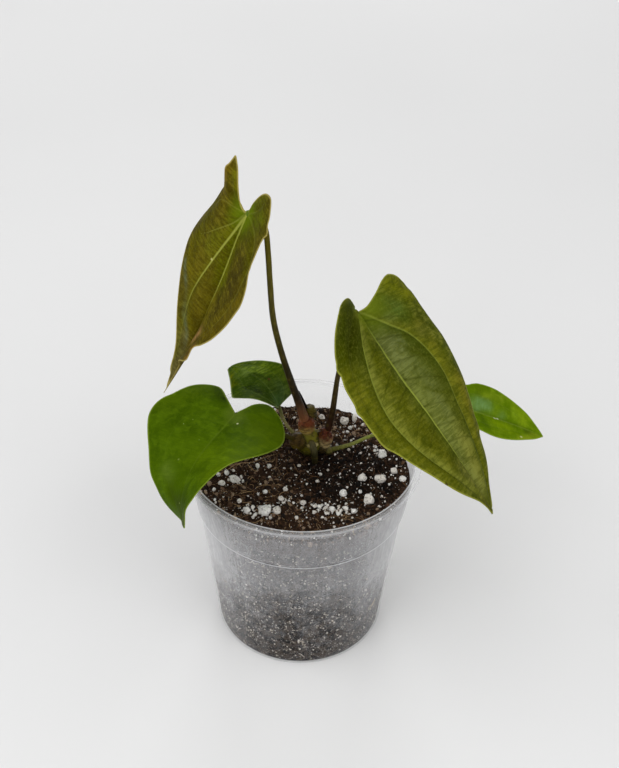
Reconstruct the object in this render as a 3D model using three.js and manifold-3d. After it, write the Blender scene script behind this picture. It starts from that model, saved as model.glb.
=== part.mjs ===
// A young napo anthurium with five heart-shaped leaves, potted in a clear tapered nursery pot.
// Millimetres, +Z up. The origin is the centre of the pot's flat underside.
import * as THREE from "three";
import { mergeVertices } from "three/addons/utils/BufferGeometryUtils.js";
import Module from "manifold-3d";

const wasm = await Module();
wasm.setup();

// Driving dimensions of the pot
const potHeight = 108;
const rimRadius = 60;
const rimThickness = 1.3;
const rimLipDepth = 2.4;
const rimBevel = 0.4;
const wallThickness = 0.7;
const baseThickness = 1.2;
const baseRadius = 44;
const baseCornerRadius = 2;
const ringHeight = 79;
const ringStep = 1.3;
const radiusBelowRing = 51.9;
const radiusUnderRim = 57.2;
const roundSegments = 56;
const drainHoleCount = 6;
const drainHoleRadius = 3.5;
const drainHoleCircle = 33;
const drainHoleSides = 16;

// Driving dimensions of what the pot holds
const touchGap = 0.3;
const mixEdgeHeight = 93.5;
const mixCrownHeight = 95.5;
const bladeThickness = 0.9;
const stepsAlongMidrib = 40;
const samplesPerSpan = 3;
const stepsAcrossBlade = 5;
const stalkSides = 10;

const colours = {
  pot: [0xd9dcdd, 0.25],
  mix: [0x33231a, 0.95],
  perlite: [0xe9e6df, 0.9],
  crown: [0x77703a, 0.6],
  root: [0x8b8f6a, 0.8],
  sheath: [0x2b1a12, 0.85],
  stalk: [0x57502c, 0.5],
  blade: [0x4f6a1f, 0.45],
};

const plant = new THREE.Group();
plant.name = "potted_napo_anthurium";

function addMesh(name, geometry, finish) {
  const [color, roughness] = finish;
  const material = new THREE.MeshStandardMaterial({ color, roughness, metalness: 0 });
  const mesh = new THREE.Mesh(geometry, material);
  mesh.name = name;
  plant.add(mesh);
  return mesh;
}

// Solids for joining and cutting
function toSolid(geometry) {
  const bare = geometry.clone();
  bare.deleteAttribute("normal");
  bare.deleteAttribute("uv");
  const merged = mergeVertices(bare, 1e-4);
  return new wasm.Manifold(
    new wasm.Mesh({
      numProp: 3,
      vertProperties: merged.getAttribute("position").array,
      triVerts: new Uint32Array(merged.index.array),
    }),
  );
}

function toGeometry(solid) {
  const mesh = solid.getMesh();
  const geometry = new THREE.BufferGeometry();
  geometry.setAttribute("position", new THREE.BufferAttribute(mesh.vertProperties, mesh.numProp));
  geometry.setIndex(new THREE.BufferAttribute(mesh.triVerts, 1));
  geometry.computeVertexNormals();
  return geometry;
}

// A value that runs evenly from one station of a list to the next, x from 0 to 1.
function along(values, x) {
  const place = Math.min(Math.max(x, 0), 1) * (values.length - 1);
  const first = Math.min(Math.floor(place), values.length - 2);
  return THREE.MathUtils.lerp(values[first], values[first + 1], place - first);
}

// The pot: one lathe turned round its own wall, then drilled.
function wallRadius(height) {
  return height <= ringHeight
    ? THREE.MathUtils.mapLinear(height, 0, ringHeight, baseRadius, radiusBelowRing)
    : THREE.MathUtils.mapLinear(
        height,
        ringHeight,
        potHeight,
        radiusBelowRing + ringStep,
        radiusUnderRim,
      );
}

// A profile of (radius, height) points turned round the Z axis.
function turnedUpright(profile) {
  const geometry = new THREE.LatheGeometry(profile, roundSegments);
  return geometry.rotateX(Math.PI / 2);
}

function arcPoints(centreX, centreY, radius, fromDegrees, toDegrees, count) {
  return Array.from({ length: count + 1 }, (_, i) => {
    const angle = THREE.MathUtils.degToRad(
      THREE.MathUtils.lerp(fromDegrees, toDegrees, i / count),
    );
    return new THREE.Vector2(centreX + radius * Math.cos(angle), centreY + radius * Math.sin(angle));
  });
}

function potGeometry() {
  const point = (radius, height) => new THREE.Vector2(radius, height);
  const innerTop = radiusUnderRim - wallThickness;
  const profile = [
    point(0, 0),
    ...arcPoints(baseRadius - baseCornerRadius, baseCornerRadius, baseCornerRadius, -90, 0, 3),
    point(radiusBelowRing, ringHeight),
    point(radiusBelowRing + ringStep, ringHeight + wallThickness),
    point(radiusUnderRim, potHeight - rimThickness),
    point(rimRadius - wallThickness, potHeight - rimThickness),
    point(rimRadius - wallThickness, potHeight - rimLipDepth),
    point(rimRadius, potHeight - rimLipDepth),
    point(rimRadius, potHeight - rimBevel),
    point(rimRadius - rimBevel, potHeight),
    point(innerTop, potHeight),
    point(radiusBelowRing + ringStep - wallThickness, ringHeight + 2 * wallThickness),
    point(radiusBelowRing - wallThickness, ringHeight + wallThickness),
    point(wallRadius(baseThickness) - wallThickness, baseThickness),
    point(0, baseThickness),
  ];
  let solid = toSolid(turnedUpright(profile));
  for (let i = 0; i < drainHoleCount; i++) {
    const angle = ((i + 0.5) / drainHoleCount) * 2 * Math.PI;
    const depth = 4 * baseThickness;
    const hole = new THREE.CylinderGeometry(drainHoleRadius, drainHoleRadius, depth, drainHoleSides);
    hole.rotateX(Math.PI / 2);
    hole.translate(drainHoleCircle * Math.cos(angle), drainHoleCircle * Math.sin(angle), 0);
    solid = solid.subtract(toSolid(hole));
  }
  return toGeometry(solid);
}

// The potting mix fills the pot up to a low dome.
function mixHeight(x, y) {
  const share = Math.hypot(x, y) / wallRadius(mixEdgeHeight);
  return mixCrownHeight - (mixCrownHeight - mixEdgeHeight) * share * share;
}

function mixGeometry() {
  const clear = wallThickness + touchGap;
  const edge = wallRadius(mixEdgeHeight) - clear;
  const dome = [1, 0.66, 0.33, 0].map((share) => {
    const radius = edge * share;
    return new THREE.Vector2(radius, mixHeight(radius, 0));
  });
  const profile = [
    new THREE.Vector2(0, baseThickness + touchGap),
    new THREE.Vector2(baseRadius - clear, baseThickness + touchGap),
    new THREE.Vector2(radiusBelowRing - clear, ringHeight),
    new THREE.Vector2(radiusBelowRing - clear, ringHeight + 2 * wallThickness),
    new THREE.Vector2(radiusBelowRing + ringStep - clear, ringHeight + 3.5 * wallThickness),
    ...dome,
  ];
  return turnedUpright(profile);
}

// Loose perlite grains that lie on the mix: centre x, y and width.
const grainFlatness = 0.82;
const grainLumpiness = 0.09;
const perliteGrains = [
  [30.0, -6.5, 4.9],
  [39.0, -7.0, 5.4],
  [33.0, -22.5, 5.9],
  [50.5, -5.1, 3.4],
  [20.4, -18.1, 3.9],
  [40.8, 13.0, 4.9],
  [46.3, 0.8, 3.7],
  [-11.6, -30.6, 4.4],
  [-33.0, -8.8, 4.9],
  [-17.3, -32.1, 6.6],
  [-26.0, -29.9, 3.4],
  [-9.9, -22.1, 3.0],
  [0.9, -24.7, 3.0],
  [-39.3, -11.2, 3.2],
  [25.5, -29.7, 3.2],
  [15.1, -28.6, 3.0],
  [-14.0, 36.0, 4.2],
  [22.0, 40.0, 4.6],
];

function grainGeometry(x, y, width, seed) {
  const geometry = mergeVertices(bareSphere(width / 2));
  const position = geometry.getAttribute("position");
  const corner = new THREE.Vector3();
  for (let i = 0; i < position.count; i++) {
    corner.fromBufferAttribute(position, i);
    const lump = Math.sin(3.1 * seed + 2.3 * corner.x) * Math.cos(1.7 * seed + 2.9 * corner.y);
    corner.multiplyScalar(1 + grainLumpiness * lump);
    corner.z *= grainFlatness;
    position.setXYZ(i, corner.x, corner.y, corner.z);
  }
  geometry.rotateZ(seed);
  geometry.computeBoundingBox();
  const lift = mixHeight(x, y) + touchGap - geometry.boundingBox.min.z;
  geometry.translate(x, y, lift);
  return geometry;
}

function bareSphere(radius) {
  const ball = new THREE.IcosahedronGeometry(radius, 1);
  ball.deleteAttribute("normal");
  ball.deleteAttribute("uv");
  return ball;
}

// The crown: overlapping knobs of stem and swollen leaf bases, cut flat where they meet the mix.
const crownKnobs = {
  stem: { centre: [4.0, 14.0, 103.5], radii: [5.8, 5.4, 9.5] },
  growing_tip: { centre: [4.6, 17.6, 116.5], radii: [3.4, 3.2, 6.2] },
  old_leaf_scar: { centre: [9.6, 14.5, 99.0], radii: [4.4, 4.0, 4.2] },
  tall_left: { centre: [2.7, 12.0, 114.2], radii: [4.3, 4.0, 4.6] },
  tall_right: { centre: [11.8, 14.0, 104.5], radii: [3.8, 3.6, 5.6] },
  front_left: { centre: [-2.0, 11.8, 103.8], radii: [4.2, 3.8, 4.8] },
  back_left: { centre: [-1.6, 16.2, 102.6], radii: [2.8, 2.6, 2.8] },
  right_back: { centre: [13.4, 13.2, 98.4], radii: [2.8, 2.6, 2.6] },
};

function ellipsoid({ centre, radii }) {
  const ball = new THREE.SphereGeometry(1, 16, 10);
  ball.rotateX(Math.PI / 2);
  ball.scale(...radii);
  ball.translate(...centre);
  return toSolid(ball);
}

function crownGeometry() {
  const joined = Object.values(crownKnobs)
    .map(ellipsoid)
    .reduce((whole, knob) => whole.add(knob));
  const below = new THREE.BoxGeometry(rimRadius, rimRadius, mixCrownHeight);
  below.translate(0, 0, touchGap + mixCrownHeight / 2);
  return toGeometry(joined.subtract(toSolid(below)));
}

// A stalk: a round, tapering rod along a smooth line through its points, with flat ends.
function stalkGeometry({ points, radii, steps }) {
  const line = new THREE.CatmullRomCurve3(points.map((p) => new THREE.Vector3(...p)));
  const { normals, binormals } = line.computeFrenetFrames(steps, false);
  const corners = [];
  const faces = [];
  for (let k = 0; k <= steps; k++) {
    const centre = line.getPointAt(k / steps);
    const radius = along(radii, k / steps);
    for (let a = 0; a < stalkSides; a++) {
      const angle = (a / stalkSides) * 2 * Math.PI;
      corners.push(
        centre
          .clone()
          .addScaledVector(normals[k], radius * Math.cos(angle))
          .addScaledVector(binormals[k], radius * Math.sin(angle)),
      );
    }
  }
  const at = (k, a) => k * stalkSides + (a % stalkSides);
  const firstCentre = corners.push(line.getPointAt(0)) - 1;
  const lastCentre = corners.push(line.getPointAt(1)) - 1;
  for (let a = 0; a < stalkSides; a++) {
    for (let k = 0; k < steps; k++) {
      faces.push(at(k, a), at(k, a + 1), at(k + 1, a + 1));
      faces.push(at(k, a), at(k + 1, a + 1), at(k + 1, a));
    }
    faces.push(firstCentre, at(0, a + 1), at(0, a));
    faces.push(lastCentre, at(steps, a), at(steps, a + 1));
  }
  return indexedGeometry(corners, faces);
}

function indexedGeometry(corners, faces) {
  const geometry = new THREE.BufferGeometry().setFromPoints(corners);
  geometry.setIndex(faces);
  geometry.computeVertexNormals();
  return geometry;
}

// The leaves. Angles in degrees, lengths in millimetres.
// heading, pitch and roll place the blade at its joint with the stalk. droop, sway and twist are the
// turning over the whole length, at the base, the middle and the tip. Each half (left, right) has its
// width, the reach of its lobe behind the joint, its rise from the midrib, its curl across and the lift
// of its lobe. widest, shoulder and taper shape the margin ahead of the joint.
const leaves = {
  tall_left: {
    joint: [-25.5, 4, 238],
    heading: 190,
    pitch: -69,
    roll: -21,
    length: 100.5,
    droop: [16, -24, -24],
    sway: [-8, 7, 12],
    twist: [10, 19, 8],
    widest: 0.29,
    shoulder: 0.73,
    taper: 0.25,
    left: { width: 31.2, lobe: 18, crest: 0.54, notch: 0.1, rise: [18, 19, 62], curl: [0, -29], lift: -2 },
    right: { width: 34.5, lobe: 16.5, crest: 0.48, notch: 0.22, rise: [27, 23, 13], curl: [-80, 35], lift: 16 },
  },
  tall_right: {
    joint: [23, -12, 199],
    heading: -46,
    pitch: -40,
    roll: -2,
    length: 108,
    droop: [-23, 20, 14],
    sway: [11, 10, -1],
    twist: [5, -28, -6],
    widest: 0.13,
    shoulder: 0.73,
    taper: 0.49,
    left: { width: 45.5, lobe: 9, crest: 0.45, notch: 0.21, rise: [26, 17, -8], curl: [-77, -20], lift: 41 },
    right: { width: 40, lobe: 12.5, crest: 0.59, notch: 0.14, rise: [55, 5, 30], curl: [-34, -26], lift: 26 },
  },
  front_left: {
    joint: [-32, -8, 137.5],
    heading: 243,
    pitch: -9,
    roll: 25,
    length: 66.5,
    droop: [-42, 67, 160],
    sway: [-8, -10, 3],
    twist: [8, 25, 24],
    widest: 0.19,
    shoulder: 0.72,
    taper: 0.48,
    left: { width: 30.2, lobe: 11, crest: 0.45, notch: 0.13, rise: [-11, 0, 18], curl: [-42, -14], lift: -13 },
    right: { width: 39.8, lobe: 11.5, crest: 0.45, notch: 0.19, rise: [21, 20, -25], curl: [4, 2], lift: -15 },
  },
  back_left: {
    joint: [-12, 28, 113],
    heading: 126,
    pitch: 59,
    roll: 20,
    length: 40,
    droop: [141, 49, 128],
    sway: [-7, -7, -7],
    twist: [0, 2, 2],
    widest: 0.23,
    shoulder: 0.86,
    taper: 0.44,
    left: { width: 19.5, lobe: 2, crest: 0.47, notch: 0.15, rise: [40, -22, -22], curl: [7, -5], lift: 0 },
    right: { width: 19.5, lobe: 2, crest: 0.59, notch: 0.15, rise: [-17, 6, 6], curl: [-10, 31], lift: 0 },
  },
  right_back: {
    joint: [70, 20, 125.5],
    heading: -4,
    pitch: -18,
    roll: 5,
    length: 57,
    droop: [0, 10, 23],
    sway: [2, 4, 1],
    twist: [2, 4, 1],
    widest: 0.28,
    shoulder: 0.89,
    taper: 0.46,
    left: { width: 17.3, lobe: 9, crest: 0.48, notch: 0.15, rise: [6, 24, 21], curl: [-11, -10], lift: 10 },
    right: { width: 17, lobe: 9, crest: 0.5, notch: 0.15, rise: [23, 13, 6], curl: [-5, -12], lift: 10 },
  },
};

// Walks down the midrib: a point and three axes (ahead, left, up) at each step.
function midribStations(leaf) {
  const radians = THREE.MathUtils.degToRad;
  const heading = radians(leaf.heading);
  const pitch = radians(leaf.pitch);
  let ahead = new THREE.Vector3(
    Math.cos(pitch) * Math.cos(heading),
    Math.cos(pitch) * Math.sin(heading),
    Math.sin(pitch),
  );
  let left = new THREE.Vector3(-Math.sin(heading), Math.cos(heading), 0);
  let up = ahead.clone().cross(left);
  left.applyAxisAngle(ahead, radians(leaf.roll));
  up.applyAxisAngle(ahead, radians(leaf.roll));
  let point = new THREE.Vector3(...leaf.joint);
  const stations = [{ point, ahead, left, up }];
  for (let i = 0; i < stepsAlongMidrib; i++) {
    const x = (i + 0.5) / stepsAlongMidrib;
    const [twist, sway, droop] = [leaf.twist, leaf.sway, leaf.droop].map(
      (turn) => radians(along(turn, x)) / stepsAlongMidrib,
    );
    const turned = [ahead, left, up].map((axis) =>
      axis
        .clone()
        .applyAxisAngle(ahead, twist)
        .applyAxisAngle(up, sway)
        .applyAxisAngle(left, droop),
    );
    const stride = ahead.clone().add(turned[0]).setLength(leaf.length / stepsAlongMidrib);
    point = point.clone().add(stride);
    [ahead, left, up] = turned;
    stations.push({ point, ahead, left, up });
  }
  return stations;
}

// The margin of one half, flat: x ahead of the joint, y away from the midrib.
function marginCurve(leaf, half) {
  const { width, lobe, crest, notch } = half;
  const length = leaf.length;
  return new THREE.SplineCurve([
    new THREE.Vector2(0, 0),
    new THREE.Vector2(-0.5 * lobe, notch * width),
    new THREE.Vector2(-lobe, crest * width),
    new THREE.Vector2(-0.55 * lobe, (0.545 + 0.455 * crest) * width),
    new THREE.Vector2(leaf.widest * length, width),
    new THREE.Vector2(0.52 * length, leaf.shoulder * width),
    new THREE.Vector2(0.8 * length, leaf.taper * width),
    new THREE.Vector2(length, 0),
  ]);
}
const marginSpans = 7;
const crestSpan = 2;

// Where a flat place (x, y) of one half comes to lie in space, and the way its upper side faces.
function bladePlace(leaf, stations, half, side, x, y) {
  const radians = THREE.MathUtils.degToRad;
  const share = Math.min(Math.max(x / leaf.length, 0), 1);
  const place = share * stepsAlongMidrib;
  const first = Math.min(Math.floor(place), stepsAlongMidrib - 1);
  const mix = (name) =>
    stations[first][name].clone().lerp(stations[first + 1][name], place - first);
  const point = mix("point");
  const ahead = mix("ahead").normalize();
  const left = mix("left").normalize();
  let up = mix("up").normalize();
  if (x < 0) {
    const bend = radians(half.lift || 0.001) / half.lobe;
    const angle = -x * bend;
    point.addScaledVector(ahead, -Math.sin(angle) / bend);
    point.addScaledVector(up, (1 - Math.cos(angle)) / bend);
    up = up.clone().multiplyScalar(Math.cos(angle)).addScaledVector(ahead, Math.sin(angle));
  }
  if (y < 1e-6) return { point, normal: up };
  const rise = radians(along(half.rise, share));
  const curl = radians(along(half.curl, share) || 0.001) / half.width;
  const slope = rise + curl * y;
  point.addScaledVector(left, (side * (Math.sin(slope) - Math.sin(rise))) / curl);
  point.addScaledVector(up, (Math.cos(rise) - Math.cos(slope)) / curl);
  const normal = up
    .clone()
    .multiplyScalar(Math.cos(slope))
    .addScaledVector(left, -side * Math.sin(slope));
  return { point, normal };
}

// A blade is a thin sheet: an upper and a lower skin over one net of points, closed round its edge.
function bladeGeometry(leaf) {
  const stations = midribStations(leaf);
  const upper = [];
  const lower = [];
  const known = new Map();
  const cornerAt = (half, side, x, y) => {
    const { point, normal } = bladePlace(leaf, stations, half, side, x, y);
    const key = point.toArray().map((c) => c.toFixed(3)).join();
    if (!known.has(key)) {
      known.set(key, upper.length);
      upper.push(point.clone().addScaledVector(normal, bladeThickness / 2));
      lower.push(point.clone().addScaledVector(normal, -bladeThickness / 2));
    }
    return known.get(key);
  };
  const triangles = [];
  for (const [half, side] of [
    [leaf.left, 1],
    [leaf.right, -1],
  ]) {
    const margin = marginCurve(leaf, half);
    const count = marginSpans * samplesPerSpan;
    const crestIndex = crestSpan * samplesPerSpan;
    const rows = [];
    for (let j = 1; j <= count; j++) {
      const edge = margin.getPoint(j / count);
      const share = Math.max(j - crestIndex, 0) / (count - crestIndex);
      const base = leaf.length * share * share;
      const row = [];
      for (let i = 0; i <= stepsAcrossBlade; i++) {
        const out = i / stepsAcrossBlade;
        row.push(cornerAt(half, side, THREE.MathUtils.lerp(base, edge.x, out), edge.y * out));
      }
      rows.push(row);
    }
    for (let j = 0; j + 1 < rows.length; j++) {
      for (let i = 0; i < stepsAcrossBlade; i++) {
        const [a, b] = [rows[j][i], rows[j + 1][i]];
        const [c, d] = [rows[j + 1][i + 1], rows[j][i + 1]];
        triangles.push(...(side > 0 ? [[a, b, c], [a, c, d]] : [[a, c, b], [a, d, c]]));
      }
    }
  }
  return closedSheet(upper, lower, triangles);
}

function closedSheet(upper, lower, triangles) {
  const count = upper.length;
  const kept = triangles.filter(([a, b, c]) => a !== b && b !== c && c !== a);
  const edges = new Set(kept.flatMap(([a, b, c]) => [`${a},${b}`, `${b},${c}`, `${c},${a}`]));
  const faces = kept.flatMap(([a, b, c]) => [a, b, c, count + a, count + c, count + b]);
  for (const edge of edges) {
    const [a, b] = edge.split(",").map(Number);
    if (!edges.has(`${b},${a}`)) faces.push(b, a, count + a, b, count + a, count + b);
  }
  return indexedGeometry([...upper, ...lower], faces);
}

// The leaf stalks (petioles), from the crown up to just under each blade's joint.
const stalkEndGap = bladeThickness / 2 + 2 * touchGap;

// The first point of a stalk, just outside the swollen base that it grows from.
const footGap = 1.5 * touchGap;
function stalkFoot({ centre, radii }, toward) {
  const middle = new THREE.Vector3(...centre);
  const way = new THREE.Vector3(...toward).sub(middle).normalize();
  const skin = 1 / way.clone().divide(new THREE.Vector3(...radii)).length();
  return middle.addScaledVector(way, skin + footGap).toArray();
}

// The last two points of a stalk that meets its blade from below. Its way in is one axis of the blade's
// joint: up for a stalk square to the blade, ahead for one that runs straight on into the midrib.
function stalkTop(leaf, reach, wayIn = "up") {
  const joint = midribStations(leaf)[0];
  return [reach, stalkEndGap].map((depth) =>
    joint.point.clone().addScaledVector(joint[wayIn], -depth).toArray(),
  );
}

const stalks = {
  tall_left: {
    points: [
      [-0.7, 11.9, 128],
      [-4.9, 11, 141.2],
      [-10.2, 10, 161.6],
      [-14.1, 9, 180.6],
      [-15.8, 8.5, 200.6],
      [-16.5, 8.5, 215.9],
      [-17.6, 9, 228],
      ...stalkTop(leaves.tall_left, 4),
    ],
    radii: [2.4, 1.9, 1.6, 1.4, 1.3, 1.3, 1.3, 1.5],
    steps: 28,
  },
  tall_right: {
    points: [
      [14.6, 13.4, 121],
      [16.5, 11.6, 144.1],
      [18.6, 9, 160],
      [20.8, 4.5, 177],
      [21.6, -2, 189],
      ...stalkTop(leaves.tall_right, 4),
    ],
    radii: [1.7, 1.3, 1.15, 1.1, 1.1, 1.2],
    steps: 24,
  },
  front_left: {
    points: [
      [-11.5, 5.6, 115],
      [-20, 0, 126],
      [-27, -5, 132],
      ...stalkTop(leaves.front_left, 3.5),
    ],
    radii: [1.3, 1.05, 1.0, 1.0, 1.1],
    steps: 16,
  },
  back_left: {
    points: [
      [-7.2, 21, 105.6],
      [-10.2, 25, 109],
      ...stalkTop(leaves.back_left, 2.4, "ahead"),
    ],
    radii: [1.0, 0.8, 0.75, 0.8],
    steps: 10,
  },
  right_back: {
    points: [
      [22, 14, 101.2],
      [29.5, 15, 104.6],
      [38, 16.8, 107.4],
      [52, 18.8, 114.5],
      [64, 20, 121.5],
      ...stalkTop(leaves.right_back, 3),
    ],
    radii: [1.25, 1.0, 0.95, 0.9, 0.9, 1.0],
    steps: 22,
  },
};

// A dry leaf sheath, flattened and pointed, that stands between the tall left stalk and the crown.
const sheath = { base: [2.8, 15.1, 121.2], tip: [-1.2, 14.9, 135.2], width: 3.4, thickness: 0.8 };

function sheathGeometry() {
  const base = new THREE.Vector3(...sheath.base);
  const rise = new THREE.Vector3(...sheath.tip).sub(base);
  const blade = new THREE.ConeGeometry(sheath.width / 2, rise.length(), 10, 3);
  blade.translate(0, rise.length() / 2, 0);
  blade.scale(1, 1, sheath.thickness / sheath.width);
  const turn = new THREE.Quaternion().setFromUnitVectors(new THREE.Vector3(0, 1, 0), rise.normalize());
  blade.applyQuaternion(turn);
  blade.translate(...base.toArray());
  return mergedBare(blade);
}

function mergedBare(geometry) {
  geometry.deleteAttribute("normal");
  geometry.deleteAttribute("uv");
  const merged = mergeVertices(geometry, 1e-4);
  merged.computeVertexNormals();
  return merged;
}

// A thick aerial root that comes out of the crown's front and goes down into the mix.
const aerialRoot = {
  points: [
    [5.2, 7.3, 105.2],
    [5.9, 6.2, 103.2],
    [6.4, 5.9, 99.5],
    [6.5, 6.0, 95.9],
  ],
  radii: [1.3, 1.6, 1.5, 1.4],
  steps: 8,
};

addMesh("nursery_pot", potGeometry(), colours.pot);
addMesh("potting_mix", mixGeometry(), colours.mix);
perliteGrains.forEach(([x, y, width], i) => {
  const name = `perlite_grain_${String(i + 1).padStart(2, "0")}`;
  addMesh(name, grainGeometry(x, y, width, i + 1), colours.perlite);
});
addMesh("crown", crownGeometry(), colours.crown);
addMesh("aerial_root", stalkGeometry(aerialRoot), colours.root);
addMesh("dry_sheath", sheathGeometry(), colours.sheath);
for (const [name, leaf] of Object.entries(leaves)) {
  const { points, radii, steps } = stalks[name];
  const foot = stalkFoot(crownKnobs[name], points[0]);
  addMesh(`petiole_${name}`, stalkGeometry({ points: [foot, ...points], radii, steps }), colours.stalk);
  addMesh(`blade_${name}`, bladeGeometry(leaf), colours.blade);
}

export default plant;
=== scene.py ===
import math
import bmesh
import bpy
import numpy as np
from mathutils import Euler, Matrix, Vector
from mathutils.geometry import delaunay_2d_cdt


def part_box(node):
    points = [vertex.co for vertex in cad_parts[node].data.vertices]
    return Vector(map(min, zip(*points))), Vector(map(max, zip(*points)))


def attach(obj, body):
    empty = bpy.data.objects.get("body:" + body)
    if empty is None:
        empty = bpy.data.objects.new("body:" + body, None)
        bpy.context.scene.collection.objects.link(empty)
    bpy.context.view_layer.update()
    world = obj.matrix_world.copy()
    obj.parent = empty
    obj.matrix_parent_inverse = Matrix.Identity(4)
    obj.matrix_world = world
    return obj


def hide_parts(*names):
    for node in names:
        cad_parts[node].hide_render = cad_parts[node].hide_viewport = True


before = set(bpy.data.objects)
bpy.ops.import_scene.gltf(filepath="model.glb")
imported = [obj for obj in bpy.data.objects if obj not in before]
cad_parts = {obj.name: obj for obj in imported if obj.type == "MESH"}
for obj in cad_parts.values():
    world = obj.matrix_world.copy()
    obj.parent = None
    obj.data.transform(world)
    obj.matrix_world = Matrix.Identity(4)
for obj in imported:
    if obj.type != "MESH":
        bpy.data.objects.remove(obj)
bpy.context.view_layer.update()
mm = 0.001  # the scene is in metres, and the sizes below are in millimetres
print("frame loaded,", len(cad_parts), "solids")


# Numbers, colours and noise

def colour(shown):
    # from red, green and blue of 0 to 255, as a screen shows them
    shares = [value / 255 for value in shown]
    return (*(s / 12.92 if s <= 0.04045 else ((s + 0.055) / 1.055) ** 2.4 for s in shares), 1.0)


def between(values, share):
    # runs evenly from one value of a list to the next
    return np.interp(share, np.linspace(0, 1, len(values)), values)


def eased(values, share, reach=0.13):
    # as between, but bending softly at the inner values
    out, count = between(values, share), len(values) - 1
    for k in range(1, count):
        bend = (values[k + 1] - 2 * values[k] + values[k - 1]) * count
        out = out + bend * np.maximum(reach - np.abs(share - k / count), 0) ** 2 / (4 * reach)
    return out


def softStep(low, high, value):
    share = np.clip((value - low) / (high - low), 0, 1)
    return share * share * (3 - 2 * share)


def unit(vectors):
    return vectors / np.linalg.norm(vectors, axis=-1, keepdims=True)


def lumps(points, size, seed):
    # smooth noise from -1 to 1 with its bumps about size apart
    place = np.asarray(points, float) / size
    cell = np.floor(place).astype(np.int64)
    share = place - cell
    share = share * share * (3 - 2 * share)
    total = np.zeros(len(place))
    for dx in (0, 1):
        for dy in (0, 1):
            for dz in (0, 1):
                corner = cell + (dx, dy, dz)
                key = corner[:, 0] * 73856093 ^ corner[:, 1] * 19349663 ^ corner[:, 2] * 83492791
                key = key ^ (seed * 40503001)
                key = (key ^ (key >> 13)) * 1274126177
                value = ((key ^ (key >> 16)) & 0xFFFFFF) / 0x7FFFFF - 1
                near = np.abs(1 - dx - share[:, 0]) * np.abs(1 - dy - share[:, 1])
                total += value * near * np.abs(1 - dz - share[:, 2])
    return total


def roughness(points, size, seed, layers=4):
    # finer and finer bumps on top of each other
    return sum(lumps(points, size / 2 ** k, seed + 17 * k) / 2 ** k for k in range(layers))


# Pieces

def makePiece(name, corners, faces, material, replaced=(), values=None):
    mesh = bpy.data.meshes.new(name)
    mesh.from_pydata((np.asarray(corners) * mm).tolist(), [], [list(face) for face in faces])
    mesh.materials.append(material)
    mesh.shade_smooth()
    for key, data in (values or {}).items():
        data = np.asarray(data, np.float32)
        if data.ndim == 1:
            mesh.attributes.new(key, "FLOAT", "POINT").data.foreach_set("value", data)
        else:
            mesh.attributes.new(key, "FLOAT_VECTOR", "POINT").data.foreach_set("vector", data.ravel())
    piece = bpy.data.objects.new(name, mesh)
    bpy.context.scene.collection.objects.link(piece)
    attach(piece, "root")
    if replaced:
        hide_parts(*replaced)
    return piece


def applyModifiers(piece):
    bpy.context.view_layer.update()
    shape = piece.evaluated_get(bpy.context.evaluated_depsgraph_get())
    mesh = bpy.data.meshes.new_from_object(shape)
    piece.modifiers.clear()
    old = piece.data
    piece.data = mesh
    bpy.data.meshes.remove(old)


def gridFaces(rows, columns, closed=True):
    # quads of a net of rows x columns points, closed round each row
    last = columns if closed else columns - 1
    first = np.arange(rows - 1)[:, None] * columns
    column = np.arange(last)[None, :]
    following = (column + 1) % columns
    quads = [first + column, first + following, first + columns + following, first + columns + column]
    return np.stack([np.broadcast_to(q, (rows - 1, last)) for q in quads], -1).reshape(-1, 4)


def ball(fineness):
    mesh = bmesh.new()
    bmesh.ops.create_icosphere(mesh, subdivisions=fineness, radius=1)
    corners = np.array([corner.co[:] for corner in mesh.verts])
    faces = np.array([[corner.index for corner in face.verts] for face in mesh.faces])
    mesh.free()
    return corners, faces


def turns(random, count):
    # random turns as 3 x 3 matrices
    w, x, y, z = (lambda q: q / np.linalg.norm(q, axis=0))(random.normal(size=(4, count)))
    rows = [
        [1 - 2 * (y * y + z * z), 2 * (x * y - z * w), 2 * (x * z + y * w)],
        [2 * (x * y + z * w), 1 - 2 * (x * x + z * z), 2 * (y * z - x * w)],
        [2 * (x * z - y * w), 2 * (y * z + x * w), 1 - 2 * (x * x + y * y)],
    ]
    return np.array(rows).transpose(2, 0, 1)


def ringPoints(radius, angle, height):
    return np.stack(np.broadcast_arrays(radius * np.cos(angle), radius * np.sin(angle), height), -1)


def strewn(random, centres, widths, fineness, raggedness, flatness=0.25):
    # many small lumps as one mesh: corners, faces and a tone from 0 to 1 for each lump
    corners, faces = ball(fineness)
    count = len(centres)
    stretch = 1 + flatness * random.uniform(-1, 1, (count, 1, 3))
    ragged = 1 + raggedness * random.uniform(-1, 1, (count, len(corners), 1))
    bits = corners[None] * stretch * ragged * (np.asarray(widths) / 2)[:, None, None]
    bits = np.einsum("nij,nkj->nki", turns(random, count), bits) + np.asarray(centres)[:, None]
    shift = np.arange(count)[:, None, None] * len(corners)
    tone = np.repeat(random.uniform(0, 1, count), len(corners))
    return bits.reshape(-1, 3), (faces[None] + shift).reshape(-1, 3), tone


def curve(points, t):
    # smooth from the second of four points to the third
    a, b, c, d = points
    return 0.5 * (2 * b + (c - a) * t + (2 * a - 5 * b + 4 * c - d) * t ** 2
                  + (3 * b - a - 3 * c + d) * t ** 3)


def evenSteps(line, count):
    way = np.r_[0, np.cumsum(np.linalg.norm(np.diff(line, axis=0), axis=1))]
    even = np.linspace(0, way[-1], count)
    return np.stack([np.interp(even, way, axis) for axis in line.T], -1)


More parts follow.
